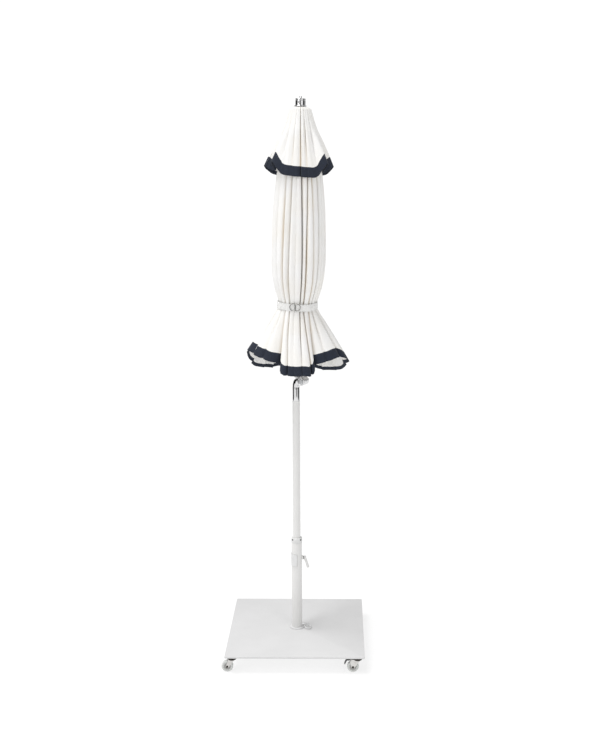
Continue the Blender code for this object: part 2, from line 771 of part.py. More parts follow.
def slotted(mesh_object, name, height_low, height_high, slot_width):
    """Cut one slot for each rib through a hub's rim."""
    cutter = bmesh.new()
    for i in range(RIB_COUNT):
        angle = RIB_HEADING + math.tau * i / RIB_COUNT
        low = Vector((SLOT_FLOOR, -slot_width / 2, height_low - CUT_OVER))
        high = Vector((HUB_RADIUS + CUT_OVER, slot_width / 2, height_high + CUT_OVER))
        size = high - low
        place = Matrix.Rotation(angle, 4, "Z") @ Matrix.Translation((low + high) / 2)
        bmesh.ops.create_cube(cutter, size=1.0, matrix=place @ Matrix.Diagonal((*size, 1.0)))
    combine(mesh_object, "DIFFERENCE", name, cutter)


def bar(radius, start, end):
    """A round bar between two points, with octagonal facets."""
    along = Vector(end) - Vector(start)
    mesh = rod(radius, 0.0, along.length, WIRE_ROUND)
    bmesh.ops.transform(
        mesh,
        matrix=Matrix.Translation(start) @ aim(along).to_matrix().to_4x4(),
        verts=mesh.verts,
    )
    return mesh


def build_canopy_frame(painted, plastic, upright, top):
    """The upper pole with its top hub, its runner, and the folded ribs and stretchers."""
    add("upper_pole", tube(POLE_BORE, POLE_RADIUS, top - UPPER_POLE_LENGTH, top), painted, upright)
    bore = POLE_RADIUS + GAP
    hub_high = top - HUB_TOP_DROP
    hub_low = hub_high - HUB_HEIGHT
    hub = add("top_hub", tube(bore, HUB_RADIUS, hub_low, hub_high), plastic, upright)
    slotted(hub, "hub_slots", hub_low, hub_high, 2 * (RIB_RADIUS + 2 * GAP))

    rib_slope = (RIB_TIP_RADIUS - RIB_ROOT_RADIUS) / (RIB_TIP_DROP - RIB_ROOT_DROP)
    pivot_low_radius = RIB_ROOT_RADIUS
    joint_side = RIB_RADIUS + STRETCHER_RADIUS + STRETCHER_GAP
    # The stretcher's foot is a little above the rib's tip, and its head is its own length higher.
    foot_drop = RIB_TIP_DROP - RUNNER_DISC_HEIGHT / 2
    head_drop = foot_drop - STRETCHER_LENGTH
    head_radius = RIB_ROOT_RADIUS + rib_slope * (head_drop - RIB_ROOT_DROP) - joint_side

    disc_high = top - foot_drop + RUNNER_DISC_HEIGHT / 2
    disc_low = disc_high - RUNNER_DISC_HEIGHT
    sleeve = bore + RUNNER_SLEEVE_WALL
    outline = [
        (bore, disc_low - RUNNER_SLEEVE_BELOW),
        (sleeve, disc_low - RUNNER_SLEEVE_BELOW),
        (sleeve, disc_low),
        (HUB_RADIUS, disc_low),
        (HUB_RADIUS, disc_high),
        (sleeve, disc_high),
        (sleeve, disc_high + RUNNER_SLEEVE_ABOVE),
        (bore, disc_high + RUNNER_SLEEVE_ABOVE),
    ]
    runner = add("runner", lathe(outline), plastic, upright)
    slotted(runner, "runner_slots", disc_low, disc_high, 2 * (STRETCHER_RADIUS + 2 * GAP))

    for i in range(RIB_COUNT):
        out = heading(RIB_HEADING + math.tau * i / RIB_COUNT)
        high = Vector((0.0, 0.0, top))
        root = high + out * RIB_ROOT_RADIUS - Vector((0, 0, RIB_ROOT_DROP))
        tip = high + out * RIB_TIP_RADIUS - Vector((0, 0, RIB_TIP_DROP))
        add(f"rib_{i + 1}", bar(RIB_RADIUS, root, tip), painted, upright)
        foot = high + out * pivot_low_radius - Vector((0, 0, foot_drop))
        head = high + out * head_radius - Vector((0, 0, head_drop))
        add(f"stretcher_{i + 1}", bar(STRETCHER_RADIUS, foot, head), painted, upright)


def build_finial(chrome, upright, top):
    """The chrome cap that closes the pole's top."""
    low = top + GAP
    flange = low + FINIAL_FLANGE_HEIGHT
    crown = low + FINIAL_HEIGHT
    outline = [
        (0.0, top - FINIAL_STUD_LENGTH),
        (POLE_BORE - GAP, top - FINIAL_STUD_LENGTH),
        (POLE_BORE - GAP, low),
        (FINIAL_FLANGE_RADIUS, low),
        (FINIAL_FLANGE_RADIUS, flange),
        (FINIAL_RADIUS, flange),
        (FINIAL_RADIUS, crown - WELD),
        (FINIAL_RADIUS - WELD, crown),
        (NUB_RADIUS, crown),
        (NUB_RADIUS, crown + NUB_HEIGHT - WELD),
        (NUB_RADIUS - WELD, crown + NUB_HEIGHT),
        (0.0, crown + NUB_HEIGHT),
    ]
    add("finial", lathe(outline), chrome, upright)


def fabric_shell(outline, top, segments):
    """A bell of cloth: the outer outline, and the same one a wall further in."""
    outer = [(radius, top - drop) for drop, radius in outline]
    inner = [(radius - FABRIC_WALL, height) for radius, height in reversed(outer)]
    return lathe(outer + inner, segments)


def build_fabric(cloth, webbing, zinc, upright, top):
    """The main canopy, the vent over it, and the strap with its two rings."""
    add("canopy_main", fabric_shell(CANOPY_OUTLINE, top, ROUND), cloth, upright)
    add("canopy_vent", fabric_shell(VENT_OUTLINE, top, ROUND), cloth, upright)
    waist = min(radius for _, radius in CANOPY_OUTLINE[CANOPY_OUTLINE.index((0.600, 0.107)) :])
    inner = waist + STRAP_GAP
    middle = top - STRAP_DROP
    outer = inner + STRAP_THICKNESS
    add("tie_strap", tube(inner, outer, middle - STRAP_WIDTH / 2, middle + STRAP_WIDTH / 2), webbing, upright)
    out = heading(BUCKLE_HEADING - POLE_HEADING)
    across = heading(BUCKLE_HEADING - POLE_HEADING + math.pi / 2)
    for i in range(2):
        layer = outer + (i + 0.5) * 2 * (BUCKLE_WIRE + GAP)
        place = out * layer + across * (BUCKLE_STAGGER * (2 * i - 1)) + Vector((0, 0, middle))
        ring = torus(BUCKLE_RADIUS, BUCKLE_WIRE, SMALL_ROUND, COARSE_ROUND)
        add(f"strap_ring_{i + 1}", ring, zinc, upright, place, aim(out))


def main():
    """Build every sub-part, from the ground up."""
    clear_scene()
    plate_paint = make_material("plate_paint", (0.78, 0.79, 0.79), 0.45)
    pole_paint = make_material("pole_paint", (0.84, 0.83, 0.82), 0.40)
    plastic = make_material("white_plastic", (0.86, 0.86, 0.85), 0.50)
    dark = make_material("dark_metal", (0.10, 0.10, 0.10), 0.40, 0.8)
    chrome = make_material("chrome", (0.78, 0.78, 0.79), 0.12, 1.0)
    zinc = make_material("zinc", (0.66, 0.67, 0.68), 0.30, 1.0)
    rim_grey = make_material("rim_grey", (0.62, 0.62, 0.60), 0.50)
    tyre_clear = make_material("tyre_grey", (0.74, 0.74, 0.72), 0.35)
    cloth = make_material("canopy_cloth", (0.90, 0.88, 0.84), 0.90)
    webbing = make_material("strap_cloth", (0.88, 0.87, 0.84), 0.85)

    build_plate(plate_paint)
    build_foot(plate_paint, zinc)
    build_stem(pole_paint, plastic, dark)
    build_clamp(pole_paint)
    build_lock_pin(zinc)
    spread = PLATE_SIDE / 2 - CASTER_INSET
    for label, x, y, turn, braked in (
        ("front_left", -spread, -spread, 0.0, False),
        ("front_right", spread, -spread, 0.0, True),
        ("rear_left", -spread, spread, math.pi, True),
        ("rear_right", spread, spread, 0.0, False),
    ):
        build_caster(label, x, y, turn, braked, chrome, rim_grey, tyre_clear, dark)
    pole = axis_empty("pole_turn_axis", None, rotation=(0.0, 0.0, POLE_HEADING))
    build_lower_pole(pole_paint, plastic, pole)
    tilting = build_tilt_joint(chrome, dark, pole)
    # Everything above the joint is placed from an upright on the pole's centre line.
    upright = axis_empty("upper_pole_line", tilting, (-KNUCKLE_OFFSET, 0.0, -KNUCKLE_Z))
    build_canopy_frame(pole_paint, plastic, upright, POLE_TOP)
    build_finial(chrome, upright, POLE_TOP)
    build_fabric(cloth, webbing, zinc, upright, POLE_TOP)


main()
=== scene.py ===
"""Looks for a furled patio umbrella that stands in a rolling base.

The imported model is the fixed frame. Every piece here is in metres, with +Z up and -Y at the front.
"""

import json
import logging
import math
from collections.abc import Sequence
from dataclasses import dataclass
from enum import Enum

import bmesh
import bpy
import numpy as np
from mathutils import Matrix, Vector


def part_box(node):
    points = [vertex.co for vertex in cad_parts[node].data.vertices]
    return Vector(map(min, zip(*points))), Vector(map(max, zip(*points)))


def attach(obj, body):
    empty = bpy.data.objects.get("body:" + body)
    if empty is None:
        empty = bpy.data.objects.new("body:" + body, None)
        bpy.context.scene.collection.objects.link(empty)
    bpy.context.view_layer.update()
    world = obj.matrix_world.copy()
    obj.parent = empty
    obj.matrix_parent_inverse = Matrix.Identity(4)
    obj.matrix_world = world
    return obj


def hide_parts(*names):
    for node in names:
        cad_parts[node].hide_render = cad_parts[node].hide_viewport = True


LOG = logging.getLogger("umbrella")
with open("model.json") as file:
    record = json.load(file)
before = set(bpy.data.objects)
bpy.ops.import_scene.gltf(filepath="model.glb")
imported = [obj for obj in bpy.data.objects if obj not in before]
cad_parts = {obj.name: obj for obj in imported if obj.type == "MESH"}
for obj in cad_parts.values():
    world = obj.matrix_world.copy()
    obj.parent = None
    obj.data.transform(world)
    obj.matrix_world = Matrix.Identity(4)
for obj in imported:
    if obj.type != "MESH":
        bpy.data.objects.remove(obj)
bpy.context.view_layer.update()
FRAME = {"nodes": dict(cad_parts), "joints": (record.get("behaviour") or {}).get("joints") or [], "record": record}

Point = tuple[float, float]
Colour = tuple[float, float, float]
Material = bpy.types.Material
Socket = bpy.types.NodeSocket
Mesh = bmesh.types.BMesh


def joint_record(name: str) -> dict:
    """Find a joint in the frame.

    Args:
        name: The joint's name.

    Returns:
        Its record.
    """
    return next(joint for joint in FRAME["joints"] if joint["name"] == name)


FRONT = -90.0
GAP = 0.0003
PLATE_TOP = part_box("base_plate")[1].z
PLATE_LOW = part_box("base_plate")[0].z
STEM_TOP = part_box("stem_collar")[1].z
POLE_RADIUS = (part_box("lower_pole")[1].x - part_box("lower_pole")[0].x) / 2
STEM_RADIUS = -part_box("stem_tube")[0].x
KNUCKLE_AT = Vector(joint_record("canopy_tilt")["pos_m"])
TILT_AXIS = Vector(joint_record("canopy_tilt")["axis"])
POLE_HEADING = math.atan2(KNUCKLE_AT.y, KNUCKLE_AT.x)
REST_LEAN = math.radians(1.3)
POLE_TOP = 2.37
STEM_WALL = 0.003
TO_KNUCKLE = Matrix.Translation(KNUCKLE_AT)
UPPER_PLACE = TO_KNUCKLE @ Matrix.Rotation(REST_LEAN, 4, TILT_AXIS) @ TO_KNUCKLE.inverted()


class Side(Enum):
    """Which half of the tilt joint a fitting is."""

    LOWER = -1
    UPPER = 1


class Shade(Enum):
    """How a piece's faces are smoothed."""

    CRISP = 30.0
    SOFT = 50.0
    ROUND = 180.0


# ---------------------------------------------------------------- finishes


class Nodes:
    """A short way to lay out one material's nodes."""

    def __init__(self, name: str) -> None:
        """Start a material.

        Args:
            name: The material's name.
        """
        self.material = bpy.data.materials.new(name)
        self.material.use_nodes = True
        self.tree = self.material.node_tree
        self.shader = self.tree.nodes["Principled BSDF"]

    def add(self, kind: str, **settings: object) -> bpy.types.Node:
        """Add a node.

        Args:
            kind: The node's type, without its ShaderNode prefix.
            settings: Properties to set, or inputs by name, with underscores for spaces.

        Returns:
            The new node.
        """
        node = self.tree.nodes.new(f"ShaderNode{kind}")
        for key, value in settings.items():
            if hasattr(node, key):
                setattr(node, key, value)
            else:
                node.inputs[key.replace("_", " ")].default_value = value
        return node

    def link(self, source: Socket, target: Socket) -> None:
        """Join two sockets.

        Args:
            source: The output.
            target: The input.
        """
        self.tree.links.new(source, target)

    def coordinates(self, scale: Sequence[float] = (1.0, 1.0, 1.0), surface: bool = False) -> Socket:
        """Coordinates in metres, scaled.

        Args:
            scale: The scale along each axis.
            surface: Whether they follow the piece's UV map instead of its place.

        Returns:
            The vector socket.
        """
        start = self.add("TexCoord").outputs["UV" if surface else "Object"]
        mapping = self.add("Mapping")
        mapping.inputs["Scale"].default_value = scale
        self.link(start, mapping.inputs["Vector"])
        return mapping.outputs["Vector"]

    def noise(self, vector: Socket, scale: float, detail: float = 2.0) -> Socket:
        """Add a noise pattern.

        Args:
            vector: Where it is read.
            scale: Its scale.
            detail: Its octaves.

        Returns:
            The pattern's value.
        """
        node = self.add("TexNoise", Scale=scale, Detail=detail)
        self.link(vector, node.inputs["Vector"])
        return node.outputs["Fac"]

    def maths(self, operation: str, first: object, second: object = 0.0) -> Socket:
        """Work out one operation on two values or sockets.

        Args:
            operation: The operation's name.
            first: A number or a socket.
            second: A number or a socket.

        Returns:
            The result.
        """
        node = self.add("Math", operation=operation)
        for i, value in enumerate((first, second)):
            if isinstance(value, Socket):
                self.link(value, node.inputs[i])
            else:
                node.inputs[i].default_value = value
        return node.outputs[0]

    def ramp(self, value: Socket, low: float, high: float) -> Socket:
        """Add a smooth step.

        Args:
            value: What is stepped.
            low: Where the step is 0.
            high: Where the step is 1.

        Returns:
            The step.
        """
        node = self.add("MapRange", interpolation_type="SMOOTHSTEP", From_Min=low, From_Max=high)
        self.link(value, node.inputs["Value"])
        return node.outputs["Result"]

    def mix(self, factor: object, first: object, second: object) -> Socket:
        """A mix of two colours.

        Args:
            factor: A number or a socket.
            first: A colour or a socket.
            second: A colour or a socket.

        Returns:
            The mixed colour.
        """
        node = self.add("Mix", data_type="RGBA")
        for socket, value in ((node.inputs[0], factor), (node.inputs[6], first), (node.inputs[7], second)):
            if isinstance(value, Socket):
                self.link(value, socket)
            elif isinstance(value, tuple):
                socket.default_value = (*value, 1.0)
            else:
                socket.default_value = value
        return node.outputs[2]

    def between(self, factor: Socket, low: float, high: float) -> Socket:
        """Run a value from low to high as a factor runs from 0 to 1.

        Args:
            factor: The factor.
            low: The value at 0.
            high: The value at 1.

        Returns:
            The value.
        """
        node = self.add("MapRange", To_Min=low, To_Max=high)
        self.link(factor, node.inputs["Value"])
        return node.outputs["Result"]

    def bump(self, height: Socket, depth: float, strength: float = 1.0) -> None:
        """Raise the surface by a height pattern, chained after any earlier one.

        Args:
            height: The pattern.
            depth: Its height in metres.
            strength: How much of it shows.
        """
        node = self.add("Bump", Strength=strength, Distance=depth)
        self.link(height, node.inputs["Height"])
        before = self.shader.inputs["Normal"].links
        if before:
            self.link(before[0].from_socket, node.inputs["Normal"])
        self.link(node.outputs["Normal"], self.shader.inputs["Normal"])

    def base(self, colour: object, roughness: object, metallic: float = 0.0) -> None:
        """Set the shader's main values.

        Args:
            colour: A colour or a socket.
            roughness: A number or a socket.
            metallic: The metallic value.
        """
        for name, value in (("Base Color", colour), ("Roughness", roughness)):
            if isinstance(value, Socket):
                self.link(value, self.shader.inputs[name])
            elif isinstance(value, tuple):
                self.shader.inputs[name].default_value = (*value, 1.0)
            else:
                self.shader.inputs[name].default_value = value
        self.shader.inputs["Metallic"].default_value = metallic


@dataclass(frozen=True)
class PowderCoat:
    """A baked powder coat: a fine orange-peel skin with slight changes of tone."""

    name: str
    colour: Colour
    roughness: float = 0.42
    peel: float = 0.00003

    def make(self) -> Material:
        """Make the finish.

        Returns:
            The material.
        """
        nodes = Nodes(self.name)
        place = nodes.coordinates()
        tone = nodes.noise(place, 7.0, 3.0)
        darker = tuple(c * 0.965 for c in self.colour)
        speck = nodes.ramp(nodes.noise(place, 950.0, 1.0), 0.7, 0.78)
        colour = nodes.mix(nodes.ramp(tone, 0.35, 0.65), darker, self.colour)
        colour = nodes.mix(nodes.maths("MULTIPLY", speck, 0.06), colour, (0.45, 0.44, 0.42))
        nodes.base(
            colour,
            nodes.between(nodes.noise(place, 40.0, 4.0), self.roughness - 0.05, self.roughness + 0.07)
        )
        nodes.bump(nodes.noise(place, 420.0, 2.0), self.peel)
        nodes.shader.inputs["Coat Weight"].default_value = 0.12
        nodes.shader.inputs["Coat Roughness"].default_value = 0.25
        return nodes.material


@dataclass(frozen=True)
class Plated:
    """Bright plating: metal with faint wipe marks and a little wear in its gloss."""

    name: str
    colour: Colour
    roughness: float
    grain: tuple[float, float, float] = (1.0, 1.0, 0.12)
    wear: float = 0.00001

    def make(self) -> Material:
        """Make the finish.

        Returns:
            The material.
        """
        nodes = Nodes(self.name)
        place = nodes.coordinates(self.grain)
        streak = nodes.noise(place, 320.0, 4.0)
        cloud = nodes.noise(nodes.coordinates(), 55.0, 3.0)
        duller = tuple(c * 0.88 for c in self.colour)
        nodes.base(
            nodes.mix(nodes.ramp(cloud, 0.38, 0.62), duller, self.colour),
            nodes.between(streak, self.roughness * 0.7, self.roughness * 1.5), 1.0
        )
        nodes.bump(streak, self.wear)
        return nodes.material


@dataclass(frozen=True)
class Moulded:
    """Moulded plastic with a fine spark-eroded grain."""

    name: str
    colour: Colour
    roughness: float = 0.5
    clear: float = 0.0
    grain: float = 0.00004

    def make(self) -> Material:
        """Make the finish.

        Returns:
            The material.
        """
        nodes = Nodes(self.name)
        place = nodes.coordinates()
        fine = nodes.noise(place, 1400.0, 2.0)
        tone = nodes.noise(place, 30.0, 3.0)
        darker = tuple(c * 0.93 for c in self.colour)
        nodes.base(
            nodes.mix(nodes.ramp(tone, 0.3, 0.7), darker, self.colour),
            nodes.between(fine, self.roughness - 0.06, self.roughness + 0.08)
        )
        nodes.bump(fine, self.grain)
        nodes.shader.inputs["Subsurface Weight"].default_value = self.clear
        nodes.shader.inputs["Subsurface Radius"].default_value = (0.9, 1.0, 0.9)
        nodes.shader.inputs["Subsurface Scale"].default_value = 0.004
        return nodes.material


@dataclass(frozen=True)
class WovenCloth:
    """Plain-woven canopy cloth with a band sewn along its hem.

    The UV map holds metres: U runs round the cloth and V up from the hem. A tan is mixed in along the
    creases as painted warm shade in the deep folds.
    """

    name: str
    colour: Colour = (0.9, 0.895, 0.885)
    band: Colour = (0.007, 0.012, 0.026)
    # The colour of the painted warm shade in the deep folds.
    tan: Colour = (0.78, 0.62, 0.4)
    band_width: float = 0.042
    thread: float = 0.0011

    def make(self) -> Material:
        """Make the finish.

        Returns:
            The material.
        """
        nodes = Nodes(self.name)
        flat = nodes.coordinates(surface=True)
        split = nodes.add("SeparateXYZ")
        nodes.link(flat, split.inputs[0])
        pitch = math.tau / self.thread
        warp = nodes.maths("SINE", nodes.maths("MULTIPLY", split.outputs["X"], pitch))
        weft = nodes.maths("SINE", nodes.maths("MULTIPLY", split.outputs["Y"], pitch))
        weave = nodes.maths("MULTIPLY", warp, weft)
        slub = nodes.noise(nodes.coordinates((1.0, 0.08, 1.0), surface=True), 900.0, 3.0)
        cloud = nodes.noise(nodes.coordinates(), 9.0, 3.0)
        cream = tuple(c * k for c, k in zip(self.colour, (0.985, 0.972, 0.945)))
        cloth = nodes.mix(nodes.ramp(cloud, 0.3, 0.7), cream, self.colour)
        cloth = nodes.mix(nodes.maths("MULTIPLY", nodes.ramp(slub, 0.62, 0.75), 0.1), cloth, cream)
        # Painted warm shade: the crease attribute mixes the cloth towards the tan colour in its folds.
        fold_shade_mask = nodes.add("Attribute", attribute_name="crease").outputs["Fac"]
        cloth = nodes.mix(fold_shade_mask, cloth, self.tan)
        wander = nodes.maths("MULTIPLY", nodes.maths("SUBTRACT", slub, 0.5), 0.0012)
        height = nodes.maths("ADD", split.outputs["Y"], wander)
        on_band = nodes.maths("LESS_THAN", height, self.band_width)
        navy = nodes.mix(nodes.ramp(slub, 0.45, 0.75), self.band, tuple(c * 1.7 for c in self.band))
        from_row = nodes.maths("ABSOLUTE", nodes.maths("SUBTRACT", height, self.band_width - 0.003))
        stitch_row = nodes.maths("LESS_THAN", from_row, 0.0005)
        stitch_wave = nodes.maths("SINE", nodes.maths("MULTIPLY", split.outputs["X"], 1900.0))
        stitch_dash = nodes.maths("GREATER_THAN", stitch_wave, -0.2)
        stitch = nodes.maths("MULTIPLY", nodes.maths("MULTIPLY", stitch_row, stitch_dash), 0.25)
        navy = nodes.mix(stitch, navy, (0.08, 0.1, 0.16))
        nodes.base(nodes.mix(on_band, cloth, navy), nodes.between(slub, 0.82, 0.95))
        nodes.bump(weave, self.thread * 0.1, 0.5)
        nodes.bump(slub, 0.00025, 0.4)
        nodes.bump(nodes.noise(nodes.coordinates((1.0, 1.0, 0.35)), 46.0, 3.0), 0.0016, 0.5)
        nodes.bump(on_band, 0.0008, 0.8)
        nodes.shader.inputs["Sheen Weight"].default_value = 0.1
        nodes.shader.inputs["Sheen Roughness"].default_value = 0.6
        return nodes.material


@dataclass(frozen=True)
class Webbing:
    """Woven strap: close ribs across it and a bound edge on each side, with painted shade in the grooves."""

    name: str
    colour: Colour
    middle: float
    half_width: float
    rib: float = 0.0014

    def make(self) -> Material:
        """Make the finish.

        Returns:
            The material.
        """
        nodes = Nodes(self.name)
        split = nodes.add("SeparateXYZ")
        nodes.link(nodes.coordinates(surface=True), split.inputs[0])
        ribs = nodes.maths("SINE", nodes.maths("MULTIPLY", split.outputs["X"], math.tau / self.rib))
        rows = nodes.maths("SINE", nodes.maths("MULTIPLY", split.outputs["Y"], math.tau / (self.rib * 1.6)))
        pattern = nodes.maths("MULTIPLY", ribs, rows)
        away = nodes.maths("ABSOLUTE", split.outputs["Y"])
        edge = nodes.ramp(away, self.half_width * 0.8, self.half_width * 0.86)
        # Painted shade: darker in the grooves between the ribs, and a little darker along the bound edges.
        groove_shade = tuple(c * 0.9 for c in self.colour)
        colour = nodes.mix(nodes.ramp(pattern, -0.6, 0.4), groove_shade, self.colour)
        colour = nodes.mix(nodes.maths("MULTIPLY", edge, 0.3), colour, groove_shade)
        nodes.base(colour, 0.86)
        nodes.bump(pattern, 0.00025)
        nodes.bump(edge, 0.0003)
        nodes.shader.inputs["Sheen Weight"].default_value = 0.1
        return nodes.material


# ---------------------------------------------------------------- mesh helpers


def lathe(outline: Sequence[Point], steps: int = 64) -> Mesh:
    """Turn a (radius, height) outline once round Z.

    Args:
        outline: The points. One that starts off the axis is closed on itself.
        steps: Faces round the turn.

    Returns:
        The closed solid.
    """
    mesh = bmesh.new()
    points = [mesh.verts.new((radius, 0.0, height)) for radius, height in outline]
    edges = [mesh.edges.new(pair) for pair in zip(points, points[1:])]
    if outline[0][0] > 0.0:
        edges.append(mesh.edges.new((points[-1], points[0])))
    bmesh.ops.spin(
        mesh, geom=points + edges, cent=(0, 0, 0), axis=(0, 0, 1), angle=math.tau, steps=steps,
        use_merge=True
    )
    bmesh.ops.remove_doubles(mesh, verts=mesh.verts, dist=1e-6)
    bmesh.ops.recalc_face_normals(mesh, faces=mesh.faces)
    return mesh


def rounded(outline: Sequence[Point], radius: float, steps: int = 3) -> list[Point]:
    """Round every corner of an outline that is off the axis.

    Args:
        outline: The (radius, height) points.
        radius: The most that a corner is rounded by.
        steps: Points on each rounded corner, less one.

    Returns:
        The new outline.
    """
    closed = outline[0][0] > 0.0
    made: list[Point] = []
    count = len(outline)
    for i, point in enumerate(outline):
        if point[0] <= 0.0 or (not closed and i in (0, count - 1)):
            made.append(point)
            continue
        here = Vector(point)
        before = Vector(outline[i - 1]) - here
        after = Vector(outline[(i + 1) % count]) - here
        reach = min(radius, before.length * 0.45, after.length * 0.45)
        first = here + before.normalized() * reach
        last = here + after.normalized() * reach
        for k in range(steps + 1):
            t = k / steps
            spot = first * (1 - t) ** 2 + here * 2 * t * (1 - t) + last * t**2
            made.append((spot.x, spot.y))
    return made


def turned(outline: Sequence[Point], radius: float, steps: int = 64) -> Mesh:
    """Turn an outline with rounded corners once round Z.

    Args:
        outline: The (radius, height) points.
        radius: The most that a corner is rounded by.
        steps: Faces round the turn.

    Returns:
        The closed solid.
    """
    return lathe(rounded(outline, radius), steps)


def ease(mesh: Mesh, edges: Sequence[bmesh.types.BMEdge], amount: float, segments: int) -> None:
    """Round some edges of a mesh.

    Args:
        mesh: The mesh.
        edges: Its edges.
        amount: The rounding.
        segments: Faces across each rounded edge.
    """
    bmesh.ops.bevel(
        mesh, geom=edges, offset=amount, segments=segments, profile=0.5, affect="EDGES", material=-1
    )


def stand(name: str, data: bpy.types.ID) -> bpy.types.Object:
    """Make an object and stand it in the scene.

    Args:
        name: Its name.
        data: Its mesh, light or camera.

    Returns:
        The object.
    """
    made = bpy.data.objects.new(name, data)
    bpy.context.scene.collection.objects.link(made)
    return made


def block(low: Sequence[float], high: Sequence[float], bevel: float = 0.0, segments: int = 3) -> Mesh:
    """A box between two corners, with its edges rounded.

    Args:
        low: The lowest corner.
        high: The highest corner.
        bevel: The rounding.
        segments: Faces across each rounded edge.

    Returns:
        The box.
    """
    size = Vector(high) - Vector(low)
    middle = (Vector(high) + Vector(low)) / 2
    mesh = bmesh.new()
    bmesh.ops.create_cube(mesh, size=1.0, matrix=Matrix.Translation(middle) @ Matrix.Diagonal((*size, 1.0)))
    if bevel:
        ease(mesh, mesh.edges[:], bevel, segments)
    return mesh


def ring(radius: float, wire: float, steps: int = 48, around: int = 12) -> Mesh:
    """Bend round wire to a ring in the XY plane.

    Args:
        radius: The ring's radius, to the wire's middle.
        wire: The wire's radius.
        steps: Faces round the ring.
        around: Faces round the wire.

    Returns:
        The ring.
    """
    turns = [math.tau * i / around for i in range(around)]
    return lathe([(radius + wire * math.cos(a), wire * math.sin(a)) for a in turns], steps)


def prism(outline: Sequence[Point], half_width: float, bevel: float = 0.0) -> Mesh:
    """A solid of one (x, z) outline, as wide to each side of the XZ plane.

    Args:
        outline: The points, in order.
        half_width: How far it reaches to each side.
        bevel: The rounding of its edges.

    Returns:
        The solid.
    """
    mesh = bmesh.new()
    face = mesh.faces.new([mesh.verts.new((x, -half_width, z)) for x, z in outline])
    grown = bmesh.ops.extrude_face_region(mesh, geom=[face])
    moved = [item for item in grown["geom"] if isinstance(item, bmesh.types.BMVert)]
    bmesh.ops.translate(mesh, vec=(0.0, 2 * half_width, 0.0), verts=moved)
    bmesh.ops.recalc_face_normals(mesh, faces=mesh.faces)
    if bevel:
        ease(mesh, mesh.edges[:], bevel, 2)
    return mesh


def hull(points: Sequence[Vector], bevel: float = 0.0) -> Mesh:
    """Wrap some points in a convex solid, with its sharp edges rounded.

    Args:
        points: The points.
        bevel: The rounding.

    Returns:
        The solid.
    """
    mesh = bmesh.new()
    for point in points:
        mesh.verts.new(point)
    made = bmesh.ops.convex_hull(mesh, input=mesh.verts)
    spare = {v for v in made["geom_interior"] + made["geom_unused"] if isinstance(v, bmesh.types.BMVert)}
    bmesh.ops.delete(mesh, geom=list(spare), context="VERTS")
    bmesh.ops.dissolve_limit(mesh, angle_limit=math.radians(1), verts=mesh.verts, edges=mesh.edges)
    bmesh.ops.recalc_face_normals(mesh, faces=mesh.faces)
    if bevel:
        sharp = [e for e in mesh.edges if len(e.link_faces) == 2 and e.calc_face_angle() > math.radians(40)]
        ease(mesh, sharp, bevel, 3)
    return mesh


def circle(
    centre: Sequence[float], radius: float, across: Sequence[float], up: Sequence[float], count: int
) -> list[Vector]:
    """Space points round a circle.

    Args:
        centre: Its centre.
        radius: Its radius.
        across: The unit direction of its first point.
        up: The unit direction of its quarter turn.
        count: How many points.

    Returns:
        The points.
    """
    return [
        Vector(centre) + Vector(across) * radius * math.cos(math.tau * i / count) + Vector(
            up
        ) * radius * math.sin(math.tau * i / count)
        for i in range(count)
    ]


def turn_to(direction: Sequence[float]) -> Matrix:
    """Find the turn that takes +Z to a direction.

    Args:
        direction: The direction.

    Returns:
        The turn.
    """
    return Vector(direction).to_track_quat("Z", "Y").to_matrix().to_4x4()


ALONG_X = turn_to((1, 0, 0))
ALONG_Y = turn_to((0, 1, 0))


def move(x: float, y: float, z: float) -> Matrix:
    """Shift along the three axes.

    Args:
        x: The shift along X.
        y: The shift along Y.
        z: The shift along Z.

    Returns:
        The shift's matrix.
    """
    return Matrix.Translation((x, y, z))


def heading(degrees: float) -> Vector:
    """Find the level unit direction at an angle from +X.

    Args:
        degrees: The angle.

    Returns:
        The direction.
    """
    return Vector((math.cos(math.radians(degrees)), math.sin(math.radians(degrees)), 0.0))


def join(*parts: Mesh) -> Mesh:
    """Gather several meshes in one.

    Args:
        parts: The meshes, which are used up.

    Returns:
        The whole.
    """
    whole = bmesh.new()
    for part in parts:
        data = bpy.data.meshes.new("part")
        part.to_mesh(data)
        part.free()
        whole.from_mesh(data)
        bpy.data.meshes.remove(data)
    return whole


def placed(mesh: Mesh, matrix: Matrix) -> Mesh:
    """Move a mesh.

    Args:
        mesh: The mesh.
        matrix: The move.

    Returns:
        The same mesh.
    """
    bmesh.ops.transform(mesh, matrix=matrix, verts=mesh.verts)
    return mesh


@dataclass
class Piece:
    """One finished piece: what it is made of, what carries it and what it stands for."""

    name: str
    body: str
    material: Material
    slot: str
    stands_for: tuple[str, ...] = ()
    shade: Shade = Shade.CRISP

    def build(self, mesh: Mesh, matrix: Matrix | None = None) -> bpy.types.Object:
        """Make the piece's object from a mesh.

        Args:
            mesh: The shape, which is used up.
            matrix: Where it goes, if it isn't there already.

        Returns:
            The object, riding on its body.
        """
        if matrix is not None:
            placed(mesh, matrix)
        data = bpy.data.meshes.new(self.name)
        mesh.to_mesh(data)
        mesh.free()
        data.shade_smooth()
        if self.shade is not Shade.ROUND:
            data.set_sharp_from_angle(angle=math.radians(self.shade.value))
        data.materials.append(self.material)
        made = stand(self.name, data)
        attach(made, self.body)
        if self.stands_for:
            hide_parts(*self.stands_for)
        LOG.info("%s: %d faces", self.name, len(data.polygons))
        return made


# ---------------------------------------------------------------- studio


